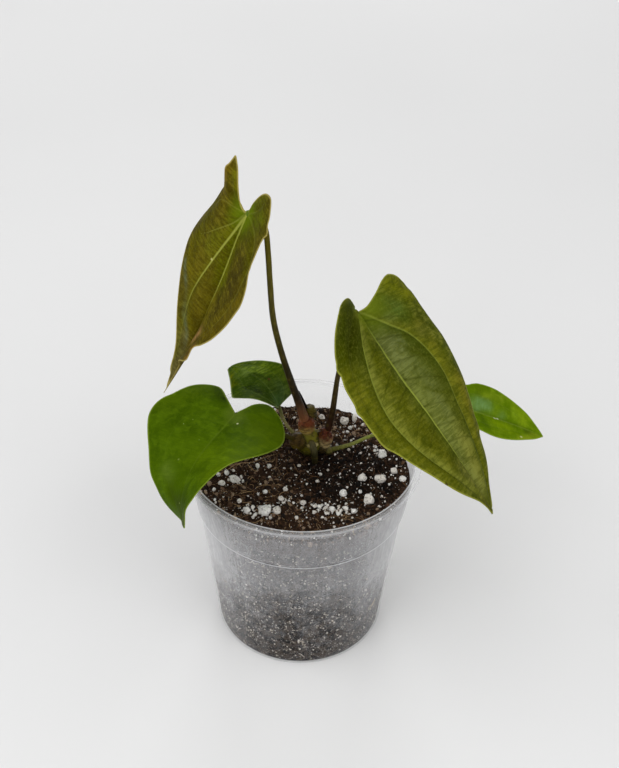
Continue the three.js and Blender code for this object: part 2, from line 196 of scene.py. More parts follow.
def smoothLine(points, count):
    # evenly spaced points on a smooth line through a few
    points = np.asarray(points, float)
    points = np.vstack([2 * points[0] - points[1], points, 2 * points[-1] - points[-2]])
    t = np.linspace(0, 1, 16, endpoint=False)[:, None]
    spans = [curve(points[k:k + 4], t) for k in range(len(points) - 3)]
    return evenSteps(np.vstack([*spans, points[-2]]), count)


def tube(line, radii, sides):
    # a round rod with domed ends along a line of points; also gives each corner's share of the length
    steps = len(line)
    ahead = np.gradient(line, axis=0)
    ahead /= np.linalg.norm(ahead, axis=1)[:, None]
    side = np.cross(ahead[0], (0.3, 0.9, 0.2))
    sidesOut = []
    for k in range(steps):
        side = side - ahead[k] * (side @ ahead[k])
        side /= np.linalg.norm(side)
        sidesOut.append(side)
    sidesOut = np.array(sidesOut)
    other = np.cross(ahead, sidesOut)
    angle = np.linspace(0, 2 * math.pi, sides, endpoint=False)
    across, along = np.cos(angle)[None, :, None], np.sin(angle)[None, :, None]
    outwards = across * sidesOut[:, None] + along * other[:, None]
    rings = line[:, None] + outwards * np.asarray(radii)[:, None, None]
    corners = np.vstack([rings.reshape(-1, 3), line[:1] - ahead[:1] * radii[0] * 0.5,
                         line[-1:] + ahead[-1:] * radii[-1] * 0.5])
    faces = gridFaces(steps, sides).tolist()
    first, last = steps * sides, steps * sides + 1
    for k in range(sides):
        faces.append([first, (k + 1) % sides, k])
        faces.append([last, (steps - 1) * sides + k, (steps - 1) * sides + (k + 1) % sides])
    share = np.r_[np.repeat(np.linspace(0, 1, steps), sides), 0, 1]
    return corners, faces, share


def manyRods(random, lines, radii, sides=4):
    # thin rods as one mesh, with a tone for each
    corners, faces, tones, start = [], [], [], 0
    for line, radius in zip(lines, radii):
        taper = radius * (0.45 + 0.55 * np.sin(np.linspace(0.15, math.pi - 0.15, len(line))))
        rodCorners, rodFaces, _ = tube(line, taper, sides)
        corners.append(rodCorners)
        faces += [[start + k for k in face] for face in rodFaces]
        tones.append(np.full(len(rodCorners), random.uniform()))
        start += len(rodCorners)
    return np.vstack(corners), faces, np.concatenate(tones)


# Materials: short calls that each add a node and give back its result

def startMaterial(name, **settings):
    material = bpy.data.materials.new(name)
    material.use_nodes = True
    shader = material.node_tree.nodes["Principled BSDF"]
    for socket, value in settings.items():
        shader.inputs[socket.replace("_", " ")].default_value = value
    return material, material.node_tree, shader


def feed(tree, socket, value):
    if isinstance(value, bpy.types.NodeSocket):
        tree.links.new(value, socket)
    else:
        socket.default_value = colour(value) if socket.type == "RGBA" else value


def stored(tree, name, output="Fac"):
    node = tree.nodes.new("ShaderNodeAttribute")
    node.attribute_name = name
    return node.outputs[output]


def objectPlace(tree):
    return tree.nodes.new("ShaderNodeTexCoord").outputs["Object"]


def stretched(tree, vector, scale):
    node = tree.nodes.new("ShaderNodeVectorMath")
    node.operation = "MULTIPLY"
    feed(tree, node.inputs[0], vector)
    node.inputs[1].default_value = scale
    return node.outputs[0]


def parts(tree, vector):
    node = tree.nodes.new("ShaderNodeSeparateXYZ")
    feed(tree, node.inputs[0], vector)
    return node.outputs


def clouds(tree, vector, scale, detail=3.0, rough=0.5, warp=0.0):
    node = tree.nodes.new("ShaderNodeTexNoise")
    for socket, value in (("Vector", vector), ("Scale", scale), ("Detail", detail),
                          ("Roughness", rough), ("Distortion", warp)):
        feed(tree, node.inputs[socket], value)
    return node.outputs["Fac"]


def cells(tree, vector, scale, feature="F1", output="Distance"):
    node = tree.nodes.new("ShaderNodeTexVoronoi")
    node.feature = feature
    feed(tree, node.inputs["Vector"], vector)
    node.inputs["Scale"].default_value = scale
    return node.outputs[output]


def window(tree, value, low, high, toLow=0.0, toHigh=1.0):
    # softly from toLow at low to toHigh at high
    node = tree.nodes.new("ShaderNodeMapRange")
    node.interpolation_type = "SMOOTHSTEP"
    for k, number in enumerate((value, low, high, toLow, toHigh)):
        feed(tree, node.inputs[k], number)
    return node.outputs[0]


def maths(tree, operation, first, second=0.0):
    node = tree.nodes.new("ShaderNodeMath")
    node.operation = operation
    feed(tree, node.inputs[0], first)
    feed(tree, node.inputs[1], second)
    return node.outputs[0]


def plus(tree, first, second):
    return maths(tree, "ADD", first, second)


def minus(tree, first, second):
    return maths(tree, "SUBTRACT", first, second)


def times(tree, first, second):
    return maths(tree, "MULTIPLY", first, second)


def centred(tree, noise, swing):
    # noise from 0 to 1 becomes a swing about nought
    return times(tree, minus(tree, noise, 0.5), swing)


def offFrom(tree, value, level):
    return maths(tree, "ABSOLUTE", minus(tree, value, level))


def farFrom(tree, place, point=(0, 0, 0)):
    node = tree.nodes.new("ShaderNodeVectorMath")
    node.operation = "DISTANCE"
    feed(tree, node.inputs[0], place)
    node.inputs[1].default_value = point
    return node.outputs["Value"]


def farFromAxis(tree, place):
    return farFrom(tree, stretched(tree, place, (1, 1, 0)))


def blend(tree, share, under, over, way="MIX"):
    node = tree.nodes.new("ShaderNodeMix")
    node.data_type = "RGBA"
    node.blend_type = way
    feed(tree, node.inputs[0], share)
    feed(tree, node.inputs[6], under)
    feed(tree, node.inputs[7], over)
    return node.outputs[2]


def washes(tree, tint, *layers):
    # each layer: what it follows, from where to where, how much it covers at either end, and its colour
    for follows, low, high, coverLow, coverHigh, over in layers:
        tint = blend(tree, window(tree, follows, low, high, coverLow, coverHigh), tint, over)
    return tint


def ramp(tree, value, *stops):
    node = tree.nodes.new("ShaderNodeValToRGB")
    feed(tree, node.inputs[0], value)
    points = node.color_ramp.elements
    while len(points) < len(stops):
        points.new(0.5)
    for point, (place, tint) in zip(points, stops):
        point.position = place
        point.color = colour(tint)
    return node.outputs[0]


def bump(tree, shader, height, depth, strength=1.0):
    # depth in mm
    node = tree.nodes.new("ShaderNodeBump")
    feed(tree, node.inputs["Height"], height)
    node.inputs["Distance"].default_value = depth * mm
    node.inputs["Strength"].default_value = strength
    tree.links.new(node.outputs[0], shader.inputs["Normal"])


# Camera, floor and light

view = {
    "place": (0.0, -444.5, 484.8),
    "turn": (52.975, -0.975, 0.354),  # degrees
    "lens": 55.0,
}
cameraData = bpy.data.cameras.new("camera")
cameraData.lens = view["lens"]
cameraData.sensor_width = 36
cameraData.clip_end = 20
camera = bpy.data.objects.new("camera", cameraData)
camera.location = Vector(view["place"]) * mm
camera.rotation_euler = Euler([math.radians(angle) for angle in view["turn"]])
bpy.context.scene.collection.objects.link(camera)
bpy.context.scene.camera = camera

studio = {
    "floor": (232, 232, 232),
    "floorWidth": 9000,
    "air": (255, 255, 255),
    "airStrength": 0.12,
    "lights": {
        # degrees round from the front, degrees up, distance and width in mm, watts, how far back it aims
        "frontLight": (0, 40, 2200, 1300, 8.3, 0),
        "frontRightLight": (45, 40, 2200, 1300, 15.2, 0),
        "rightLight": (90, 40, 2200, 1300, 8.3, 0),
        "leftLight": (270, 40, 2200, 1300, 13.7, 0),
        "frontLeftLight": (315, 40, 2200, 1300, 18.3, 0),
        "backLeftLight": (225, 36, 2600, 1400, 4.7, 1300),
        "backRightLight": (135, 36, 2600, 1400, 4.7, 1300),
        "backLight": (180, 20, 2600, 1200, 20.3, 1200),
    },
}


def makeStudio(plan):
    half = plan["floorWidth"] / 2
    mesh = bpy.data.meshes.new("floor")
    square = [(-half, -half, 0), (half, -half, 0), (half, half, 0), (-half, half, 0)]
    mesh.from_pydata([Vector(corner) * mm for corner in square], [], [(0, 1, 2, 3)])
    material, tree, shader = startMaterial("palePaper", Roughness=0.85, Specular_IOR_Level=0.1)
    grain = clouds(tree, objectPlace(tree), 2.0, 2.0)
    tint = blend(tree, window(tree, grain, 0.3, 0.7), plan["floor"], (229, 229, 229))
    feed(tree, shader.inputs["Base Color"], tint)
    mesh.materials.append(material)
    floor = bpy.data.objects.new("floor", mesh)
    bpy.context.scene.collection.objects.link(floor)
    world = bpy.data.worlds.new("air")
    bpy.context.scene.world = world
    world.use_nodes = True
    background = world.node_tree.nodes["Background"]
    background.inputs["Color"].default_value = colour(plan["air"])
    background.inputs["Strength"].default_value = plan["airStrength"]
    for name, (around, up, far, width, watts, aimBack) in plan["lights"].items():
        data = bpy.data.lights.new(name, "AREA")
        data.shape = "SQUARE"
        data.size = width * mm
        data.energy = watts
        light = bpy.data.objects.new(name, data)
        turn, lift = math.radians(around), math.radians(up)
        light.location = Vector((math.cos(lift) * math.sin(turn), -math.cos(lift) * math.cos(turn),
                                 math.sin(lift))) * far * mm
        aim = Vector((0, aimBack, 50)) * mm - light.location
        light.rotation_euler = aim.to_track_quat("-Z", "Y").to_euler()
        bpy.context.scene.collection.objects.link(light)


makeStudio(studio)
bpy.context.scene.view_settings.view_transform = "Standard"
print("camera, floor and light made")


# The clear nursery pot

pot = {
    "height": 108, "rimRadius": 60, "rimThickness": 1.3, "lipDepth": 2.4,
    "wall": 0.7, "base": 1.2, "baseRadius": 44,
    "ringHeight": 79, "ringStep": 1.3, "radiusBelowRing": 51.9, "radiusUnderRim": 57.2,
    "drainHoles": 6, "drainRadius": 3.5, "drainCircle": 33,
    "segments": 240,
    "plastic": (226, 227, 230), "haze": (238, 238, 240),
}


def wallRadius(height):
    low = pot["baseRadius"] + (pot["radiusBelowRing"] - pot["baseRadius"]) * height / pot["ringHeight"]
    first = pot["radiusBelowRing"] + pot["ringStep"]
    span = pot["height"] - pot["ringHeight"]
    high = first + (pot["radiusUnderRim"] - first) * (height - pot["ringHeight"]) / span
    return np.where(np.asarray(height) <= pot["ringHeight"], low, high)


# What clouds the clear wall. Heights and distances are in metres, and the rest are shares of opacity.
dew = {
    "raggedness": 0.075,
    "upper": (0.044, 0.064, 0.0, 0.078),  # line from, to, and the haze below and above it
    "lower": (0.004, 0.046, 0.012, 0.072),
    "streaks": 0.26, "broadStreaks": 0.14, "specks": 0.14,
    "broken": (0.04, 0.075, 0.62, 0.12),
    "wetBlots": (0.9, -0.2), "wetBlotsUpTo": (0.036, 0.048),
    "bead": 0.13, "beadsUpTo": (0.036, 0.06), "highBeads": 0.2,
    "edgeOn": 0.36, "edgeOnLow": 0.45,
    "rimFrom": (0.098, 0.104), "underRim": 0.09,
    "rimLines": ((0.0571, 0.4), (0.0598, 0.16)), "rimTop": (0.1066, 0.1076), "rimHaze": 0.08,
    "ringHeight": 0.0797, "ringLine": 0.3,
    "farWall": (0.005, 0.035), "farWallShare": 0.3,
}


def plasticMaterial():
    material, tree, shader = startMaterial(
        "hazyClearPlastic", Roughness=0.3, Specular_IOR_Level=0.5, IOR=1.49)
    place = objectPlace(tree)
    _, backwards, height = parts(tree, place)
    streaks = clouds(tree, stretched(tree, place, (900, 900, 45)), 1.0, 3.0, 0.6)
    broadStreaks = clouds(tree, stretched(tree, place, (260, 260, 22)), 1.0, 2.0, 0.5)
    specks = clouds(tree, place, 1300, 2.0, 0.6)
    # dewy from the rim down to a ragged line, and clearer where the damp mix touches the wall
    line = plus(tree, height, centred(tree, clouds(tree, place, 60, 4.0, 0.65), dew["raggedness"]))
    haze = plus(tree, window(tree, line, *dew["upper"]), window(tree, line, *dew["lower"]))
    for noise, low, high, swing in ((streaks, 0.25, 0.75, dew["streaks"]),
                                    (broadStreaks, 0.3, 0.7, dew["broadStreaks"]),
                                    (specks, 0.36, 0.64, dew["specks"])):
        haze = times(tree, haze, window(tree, noise, low, high, 1 - swing, 1 + swing))
    # broken up, most of all low down
    broken = window(tree, clouds(tree, place, 430, 5.0, 0.78), 0.4, 0.6, -1.0, 1.0)
    broken = times(tree, broken, window(tree, height, *dew["broken"]))
    haze = times(tree, haze, plus(tree, 1.0, broken))
    # clear wet blots low down, where the dark mix shows
    blots = window(tree, clouds(tree, place, 110, 5.0, 0.72), 0.4, 0.58, *dew["wetBlots"])
    blots = times(tree, blots, window(tree, height, *dew["wetBlotsUpTo"], 1.0, 0.0))
    haze = times(tree, haze, minus(tree, 1.0, blots))
    # beads of dew, each a small bright speck
    beadSize = window(tree, clouds(tree, place, 240, 3.0, 0.6), 0.48, 0.7, 0.0, 0.3)
    bead = window(tree, minus(tree, cells(tree, place, 720), beadSize), -0.1, 0.04, dew["bead"], 0.0)
    bead = times(tree, bead, window(tree, height, *dew["beadsUpTo"][::-1], dew["highBeads"], 1.0))
    haze = plus(tree, haze, bead)
    # seen edge on, there is more plastic to look through
    edgeOn = tree.nodes.new("ShaderNodeLayerWeight")
    edgeOn.inputs["Blend"].default_value = 0.5
    edge = window(tree, edgeOn.outputs["Facing"], 0.34, 0.95, 0.0, dew["edgeOn"])
    haze = plus(tree, haze, times(tree, edge, window(tree, height, 0.015, 0.06, dew["edgeOnLow"], 1.0)))
    # even and nearly clear under the rim
    haze = times(tree, haze, window(tree, height, *dew["rimFrom"], 1.0, 0.0))
    haze = plus(tree, haze, window(tree, height, *dew["rimFrom"], 0.0, dew["underRim"]))
    # the rolled rim shows as two bright lines with a clearer band between
    span = farFromAxis(tree, place)
    lines = plus(tree, *(window(tree, offFrom(tree, span, radius), 0.0001, 0.0006, shown, 0.0)
                         for radius, shown in dew["rimLines"]))
    rim = times(tree, window(tree, height, *dew["rimTop"]), plus(tree, lines, dew["rimHaze"]))
    ring = offFrom(tree, height, dew["ringHeight"])
    haze = plus(tree, haze, window(tree, ring, 0.0004, 0.0012, dew["ringLine"], 0.0))
    # the far wall above the mix is nearly clear
    far = times(tree, window(tree, backwards, *dew["farWall"]), window(tree, height, 0.088, 0.097))
    haze = times(tree, haze, window(tree, far, 0.0, 1.0, 1.0, dew["farWallShare"]))
    feed(tree, shader.inputs["Alpha"], plus(tree, haze, rim))
    tint = blend(tree, window(tree, streaks, 0.3, 0.7), pot["plastic"], pot["haze"])
    feed(tree, shader.inputs["Base Color"], tint)
    bump(tree, shader, plus(tree, streaks, specks), 0.05)
    return material


def roundedProfile(points, bevels):
    # swaps each corner of a profile for a small arc
    out = []
    for k, (point, bevel) in enumerate(zip(points, bevels)):
        point = np.array(point, float)
        if bevel == 0:
            out.append(point)
            continue
        before, after = np.array(points[k - 1], float), np.array(points[k + 1], float)
        start = point + (before - point) / np.linalg.norm(before - point) * bevel
        end = point + (after - point) / np.linalg.norm(after - point) * bevel
        for t in np.linspace(0, 1, 5):
            out.append((1 - t) ** 2 * start + 2 * t * (1 - t) * point + t * t * end)
    return np.array(out)


def makePot():
    top, wall, rim = pot["height"], pot["wall"], pot["rimRadius"]
    under, lip, ring = top - pot["rimThickness"], top - pot["lipDepth"], pot["ringHeight"]
    below, above = pot["radiusBelowRing"], pot["radiusBelowRing"] + pot["ringStep"]
    floorInside = float(wallRadius(pot["base"])) - wall
    outline = [
        ((0, 0), 0), ((pot["baseRadius"], 0), 1.6), ((below, ring), 0.3), ((above, ring + wall), 0.35),
        ((pot["radiusUnderRim"], under), 0.4), ((rim - wall, under), 0.2), ((rim - wall, lip), 0.2),
        ((rim, lip), 0.2), ((rim, top), 0.5), ((pot["radiusUnderRim"] - wall, top), 0.5),
        ((above - wall, ring + 2 * wall), 0.3), ((below - wall, ring + wall), 0.3),
        ((floorInside, pot["base"]), 1.0), ((0, pot["base"]), 0),
    ]
    profile = roundedProfile([point for point, _ in outline], [bevel for _, bevel in outline])
    # more rings on the long walls
    rings = [profile[0]]
    for a, b in zip(profile, profile[1:]):
        pieces = max(1, int(np.linalg.norm(b - a) / 4))
        rings += [a + (b - a) * k / pieces for k in range(1, pieces + 1)]
    rings = np.array(rings)
    angle = np.linspace(0, 2 * math.pi, pot["segments"], endpoint=False)
    corners = ringPoints(rings[:, :1], angle, rings[:, 1:])
    faces = gridFaces(len(rings), len(angle))
    piece = makePiece("clearNurseryPot", corners.reshape(-1, 3), faces, plasticMaterial(),
                      ["nursery_pot"])
    mesh = bmesh.new()
    mesh.from_mesh(piece.data)
    bmesh.ops.remove_doubles(mesh, verts=mesh.verts, dist=0.00001)
    bmesh.ops.recalc_face_normals(mesh, faces=mesh.faces)
    mesh.to_mesh(piece.data)
    mesh.free()
    drill = bpy.data.meshes.new("drill")
    cutter = bmesh.new()
    for k in range(pot["drainHoles"]):
        around = (k + 0.5) / pot["drainHoles"] * 2 * math.pi
        centre = Vector((math.cos(around), math.sin(around), 0)) * pot["drainCircle"] * mm
        bmesh.ops.create_cone(cutter, cap_ends=True, segments=40, radius1=pot["drainRadius"] * mm,
                              radius2=pot["drainRadius"] * mm, depth=4 * pot["base"] * mm,
                              matrix=Matrix.Translation(centre))
    cutter.to_mesh(drill)
    cutter.free()
    tool = bpy.data.objects.new("drill", drill)
    bpy.context.scene.collection.objects.link(tool)
    cut = piece.modifiers.new("holes", "BOOLEAN")
    cut.object = tool
    cut.operation = "DIFFERENCE"
    cut.solver = "EXACT"
    applyModifiers(piece)
    bpy.data.objects.remove(tool)
    piece.data.shade_smooth()
    piece.data.set_sharp_from_angle(angle=math.radians(50))
    return piece


makePot()
print("pot made")


# The potting mix

mix = {
    "edgeHeight": 93.5, "crownHeight": 95.5, "gap": 0.25,
    "lumpHeight": 1.1, "lumpSize": 8.0,
    "dark": (9, 6, 4), "brown": (50, 34, 23), "red": (98, 68, 46), "strand": (104, 74, 50),
    "perliteDust": (206, 198, 186), "gapShadeBlack": (5, 3, 2), "wallBrown": (68, 60, 52),
    "wallCrumbs": [(0.35, (104, 92, 78)), (0.5, (178, 168, 152)), (0.65, (236, 230, 220))],
    "dampCentre": (24, -2),
    "crumbs": 5000, "fibres": 1800, "fineGrains": 800, "wallGrains": 4400, "wallRoots": 9,
}


def mixHeight(x, y):
    share = np.hypot(x, y) / float(wallRadius(mix["edgeHeight"]))
    return mix["crownHeight"] - (mix["crownHeight"] - mix["edgeHeight"]) * share ** 2


def mixSurface(x, y):
    flat = np.stack([x, y, np.zeros_like(x)], -1)
    uneven = mix["lumpHeight"] * lumps(flat, mix["lumpSize"], 3) + 0.8 * roughness(flat, 3.2, 8, 4)
    return mixHeight(x, y) + uneven - 0.3


def mixMaterial():
    material, tree, shader = startMaterial("pottingMix", Roughness=0.9, Specular_IOR_Level=0.12)
    place = objectPlace(tree)
    _, backwards, height = parts(tree, place)
    coarse = clouds(tree, place, 190, 4.0, 0.7)
    fine = clouds(tree, place, 1100, 4.0, 0.75)
    strands = clouds(tree, stretched(tree, place, (500, 2600, 2600)), 1.0, 3.0, 0.7, 1.5)
    # near black right of the middle, browner round that and lighter towards the back
    dampCentre = (*(np.array(mix["dampCentre"]) * mm), 0)
    damp = farFrom(tree, stretched(tree, place, (1, 1, 0)), dampCentre)
    dry = window(tree, damp, 0.014, 0.038, 0.15, 1.0)
    dry = plus(tree, dry, window(tree, backwards, 0.014, 0.034, 0.0, 0.3))
    tint = blend(tree, plus(tree, centred(tree, coarse, 2.6), dry), mix["dark"], mix["brown"])
    tint = washes(tree, tint, (fine, 0.5, 0.72, 0.0, 0.75, mix["red"]),
                  (strands, 0.6, 0.72, 0.0, 0.7, mix["strand"]),
                  (cells(tree, place, 620), 0.1, 0.17, 0.75, 0.0, mix["perliteDust"]))
    # black gaps of painted shade, and pale crumbs pressed against the clear wall
    wall = window(tree, farFromAxis(tree, place), 0.038, 0.041)
    wall = times(tree, wall, window(tree, height, 0.091, 0.087))
    gap = window(tree, clouds(tree, place, 300, 5.0, 0.75), 0.44, 0.56, 1.0, 0.0)
    tint = blend(tree, times(tree, gap, wall), tint, mix["gapShadeBlack"])
    tint = blend(tree, times(tree, wall, window(tree, gap, 0.0, 1.0, 0.75, 0.0)), tint, mix["wallBrown"])
    crumbSize = window(tree, clouds(tree, place, 260, 4.0, 0.7), 0.44, 0.66, -0.04, 0.46)
    crumb = window(tree, minus(tree, cells(tree, place, 700), crumbSize), -0.06, 0.06, 0.95, 0.0)
    tint = blend(tree, times(tree, crumb, wall), tint, ramp(tree, fine, *mix["wallCrumbs"]))
    feed(tree, shader.inputs["Base Color"], tint)
    bump(tree, shader, plus(tree, coarse, fine), 0.9)
    return material


def makeMixBody():
    segments, edge = 420, float(wallRadius(mix["edgeHeight"])) - pot["wall"] - mix["gap"]
    angle = np.linspace(0, 2 * math.pi, segments, endpoint=False)
    rings = []
    for share in np.linspace(0.012, 1, 74):
        radius = edge * share
        rings.append(ringPoints(radius, angle, mixSurface(radius * np.cos(angle), radius * np.sin(angle))))
    bottom = pot["base"] + mix["gap"]
    edgeHeights = rings[-1][:, 2]
    for share in np.linspace(0, 1, 66)[1:]:
        height = edgeHeights * (1 - share) + bottom * share
        radius = wallRadius(height) - pot["wall"] - mix["gap"]
        dent = 0.5 + 0.5 * np.clip(roughness(ringPoints(radius, angle, height), 5.0, 21, 4), -1, 1)
        radius = radius - 0.8 * dent ** 2 * min(1, 6 * (1 - share))
        rings.append(ringPoints(radius, angle, height))
    corners = np.vstack([np.array(rings).reshape(-1, 3), [[0, 0, mixSurface(np.zeros(1), np.zeros(1))[0]]],
                         [[0, 0, bottom]]])
    faces = gridFaces(len(rings), segments).tolist()
    top, base, last = len(corners) - 2, len(corners) - 1, (len(rings) - 1) * segments
    for k in range(segments):
        faces.append([top, (k + 1) % segments, k][::-1])
        faces.append([base, last + k, last + (k + 1) % segments][::-1])
    return makePiece("pottingMix", corners, [face[::-1] for face in faces], mixMaterial(),
                     ["potting_mix"])


def keepInPot(corners):
    over = np.hypot(corners[:, 0], corners[:, 1]) / (wallRadius(corners[:, 2]) - pot["wall"] - 0.06)
    corners[:, :2] /= np.maximum(over, 1)[:, None]


def spread(random, count, edge=53.0):
    # places on the mix, evenly strewn
    radius = edge * np.sqrt(random.uniform(0, 1, count))
    angle = random.uniform(0, 2 * math.pi, count)
    return radius * np.cos(angle), radius * np.sin(angle)


def toneMaterial(name, stops, rough, pits=0.0, pitScale=2500.0):
    material, tree, shader = startMaterial(name, Roughness=rough, Specular_IOR_Level=0.2)
    place = objectPlace(tree)
    grain = clouds(tree, place, 1400, 3.0, 0.6)
    shown = plus(tree, stored(tree, "tone"), centred(tree, grain, 0.35))
    feed(tree, shader.inputs["Base Color"], ramp(tree, shown, *stops))
    if pits:
        bump(tree, shader, clouds(tree, place, pitScale, 3.0, 0.65), pits)
    return material


def lightnessAwayFromDamp(places):
    # near black right of the middle, browner round that and lighter towards the back
    back = 0.3 * softStep(14, 34, places[:, 1])
    return back + softStep(14, 38, np.linalg.norm(places[:, :2] - mix["dampCentre"], axis=1))


def makeCrumbs():
    random = np.random.default_rng(11)
    x, y = spread(random, mix["crumbs"])
    width = 0.5 + 1.9 * random.uniform(0, 1, len(x)) ** 4
    z = mixSurface(x, y) + 0.12 * width
    corners, faces, tone = strewn(random, np.stack([x, y, z], -1), width, 1, 0.38, 0.66)
    tone = np.clip(tone - 0.3 + 0.46 * lightnessAwayFromDamp(corners), 0, 1)
    stops = [(0.0, (8, 5, 3)), (0.4, (30, 20, 13)), (0.75, (68, 47, 33)),
             (0.92, (114, 87, 64)), (1.0, (156, 134, 112))]
    makePiece("mixCrumbs", corners, faces, toneMaterial("darkCrumbs", stops, 0.85, 0.4),
              values={"tone": tone})


def makeFibres():
    random = np.random.default_rng(23)
    x, y = spread(random, mix["fibres"], 51)
    lines, radii = [], []
    for k in range(len(x)):
        length = 1.8 + 8 * random.uniform() ** 2.5
        heading = random.uniform(0, 2 * math.pi)
        bend = random.normal(0, 0.9)
        steps = np.linspace(-0.5, 0.5, 7)
        turn = heading + bend * steps
        px = x[k] + length * steps * np.cos(turn)
        py = y[k] + length * steps * np.sin(turn)
        over = np.hypot(px, py)
        keep = np.minimum(1, 53.2 / np.maximum(over, 1e-6))
        px, py = px * keep, py * keep
        pz = mixSurface(px, py)
        pz = 0.5 * pz + 0.5 * pz.mean() + 0.3 + 0.9 * random.uniform() * (1 - (2 * steps) ** 2)
        lines.append(smoothLine(np.stack([px, py, pz], -1), 9))
        radii.append(0.08 + 0.17 * random.uniform() ** 2)
    # one long pale strand at the left
    strand = np.array([(-42, -5), (-38, -3.5), (-32, 0), (-25, 3.5), (-19, 8), (-13, 11.5)], float)
    rise = np.array([0.7, 2.2, 2.8, 2.4, 1.9, 0.7])
    lines.append(smoothLine(np.column_stack([strand, mixSurface(strand[:, 0], strand[:, 1]) + rise]), 60))
    radii.append(0.22)
    corners, faces, tone = manyRods(random, lines, radii, 3)
    tone = np.clip(tone - 0.24 + 0.36 * lightnessAwayFromDamp(corners), 0, 1)
    tone[-60 * 3:] = 0.95
    stops = [(0.0, (20, 12, 8)), (0.45, (62, 41, 26)), (0.8, (112, 80, 52)),
             (1.0, (176, 146, 108))]
    makePiece("coirFibres", corners, faces, toneMaterial("coirFibre", stops, 0.8),
              values={"tone": tone})


whiteStops = [(0.0, (220, 210, 198)), (0.5, (246, 241, 234)), (1.0, (255, 254, 251))]

# The largest grains: centre x, y and width
largeGrains = [
    (30.0, -6.5, 4.9), (39.0, -7.0, 5.4), (33.0, -22.5, 5.9), (50.5, -5.1, 3.4), (20.4, -18.1, 3.9),
    (40.8, 13.0, 4.9), (46.3, 0.8, 3.7), (-11.6, -30.6, 4.4), (-33.0, -8.8, 4.9), (-17.3, -32.1, 6.6),
    (-26.0, -29.9, 3.4), (-9.9, -22.1, 3.0), (0.9, -24.7, 3.0), (-39.3, -11.2, 3.2), (25.5, -29.7, 3.2),
    (15.1, -28.6, 3.0), (-14.0, 36.0, 4.2), (22.0, 40.0, 4.6),
]


# Smaller ones, and the little heaps at the front
smallGrains = [
    (27.8, 43.8, 3.6), (10.1, 44.0, 2.8), (-37.6, -3.4, 2.8), (-8.0, -13.9, 2.7), (21.7, -28.1, 2.5),
    (-22.3, 1.9, 2.4), (9.0, -27.3, 2.4), (-16.6, 4.0, 2.2), (-30.1, -23.4, 2.2), (-17.8, -17.8, 2.1),
    (-23.2, -28.5, 2.1), (24.9, 34.3, 2.2), (-30.1, -6.0, 1.9), (0.6, -26.6, 1.8), (-1.4, 2.4, 1.9),
    (-41.6, -4.0, 1.9), (-43.2, -14.3, 1.9), (28.9, -15.7, 2.0), (6.3, -31.1, 1.9), (-2.1, -34.8, 1.8),
    (23.6, 30.6, 1.7), (9.5, -1.6, 1.7), (-8.9, 2.4, 1.6), (7.9, -7.3, 1.7), (-22.1, -33.2, 1.6),
    (-15.0, 49.3, 1.8), (37.7, 20.6, 1.9), (-34.1, -1.3, 1.5), (39.5, -17.0, 1.7), (10.2, -34.2, 1.4),
    (-4.5, 42.8, 1.5), (-5.4, 1.7, 1.3), (15.6, -36.7, 1.3), (17.9, 20.0, 1.3), (-42.3, -21.0, 1.3),
    (-13.7, -25.7, 1.3), (36.4, 30.7, 1.3), (-7.9, 28.4, 1.3), (43.6, -8.9, 1.3), (-3.8, -23.0, 1.2),
    (6.5, -26.6, 1.6), (12.2, -26.2, 1.9), (12.0, -30.8, 1.5), (18.6, -31.0, 1.4), (24.6, -23.8, 1.3),
]
# where fine grains lie thick: centre x, y, spread and count
grainHeaps = [(12, -27, 7.5, 70), (-18, -31, 6, 60), (-26, -29, 4, 26), (-33, -8, 5, 24), (-8, -22, 5, 26),
              (20, -30, 5, 30), (26, 38, 6, 20), (36, 18, 6, 20)]


def perliteMaterial():
    material, tree, shader = startMaterial("whitePerlite", Roughness=0.92, Specular_IOR_Level=0.15)
    place = objectPlace(tree)
    grain = clouds(tree, place, 1500, 4.0, 0.65)
    pits = cells(tree, place, 820)
    soil = clouds(tree, place, 520, 3.0, 0.65)
    shown = plus(tree, stored(tree, "tone"), centred(tree, grain, 0.5))
    tint = ramp(tree, shown, *whiteStops)
    # painted shade makes the pits grey, and soil clings to some of them
    tint = washes(tree, tint, (pits, 0.1, 0.34, 0.6, 0.0, (150, 136, 122)),
                  (soil, 0.58, 0.72, 0.0, 0.8, (104, 82, 64)))
    feed(tree, shader.inputs["Base Color"], tint)
    bump(tree, shader, plus(tree, grain, window(tree, pits, 0.0, 0.4)), 0.7)
    return material


def chunk(random, corners, cuts=11):
    # breaks flat faces off a ball, as on a crushed grain
    for _ in range(cuts):
        way = unit(random.normal(size=3))
        over = corners @ way - random.uniform(0.62, 0.92)
        corners = corners - np.maximum(over, 0)[:, None] * way * 0.8
    return corners


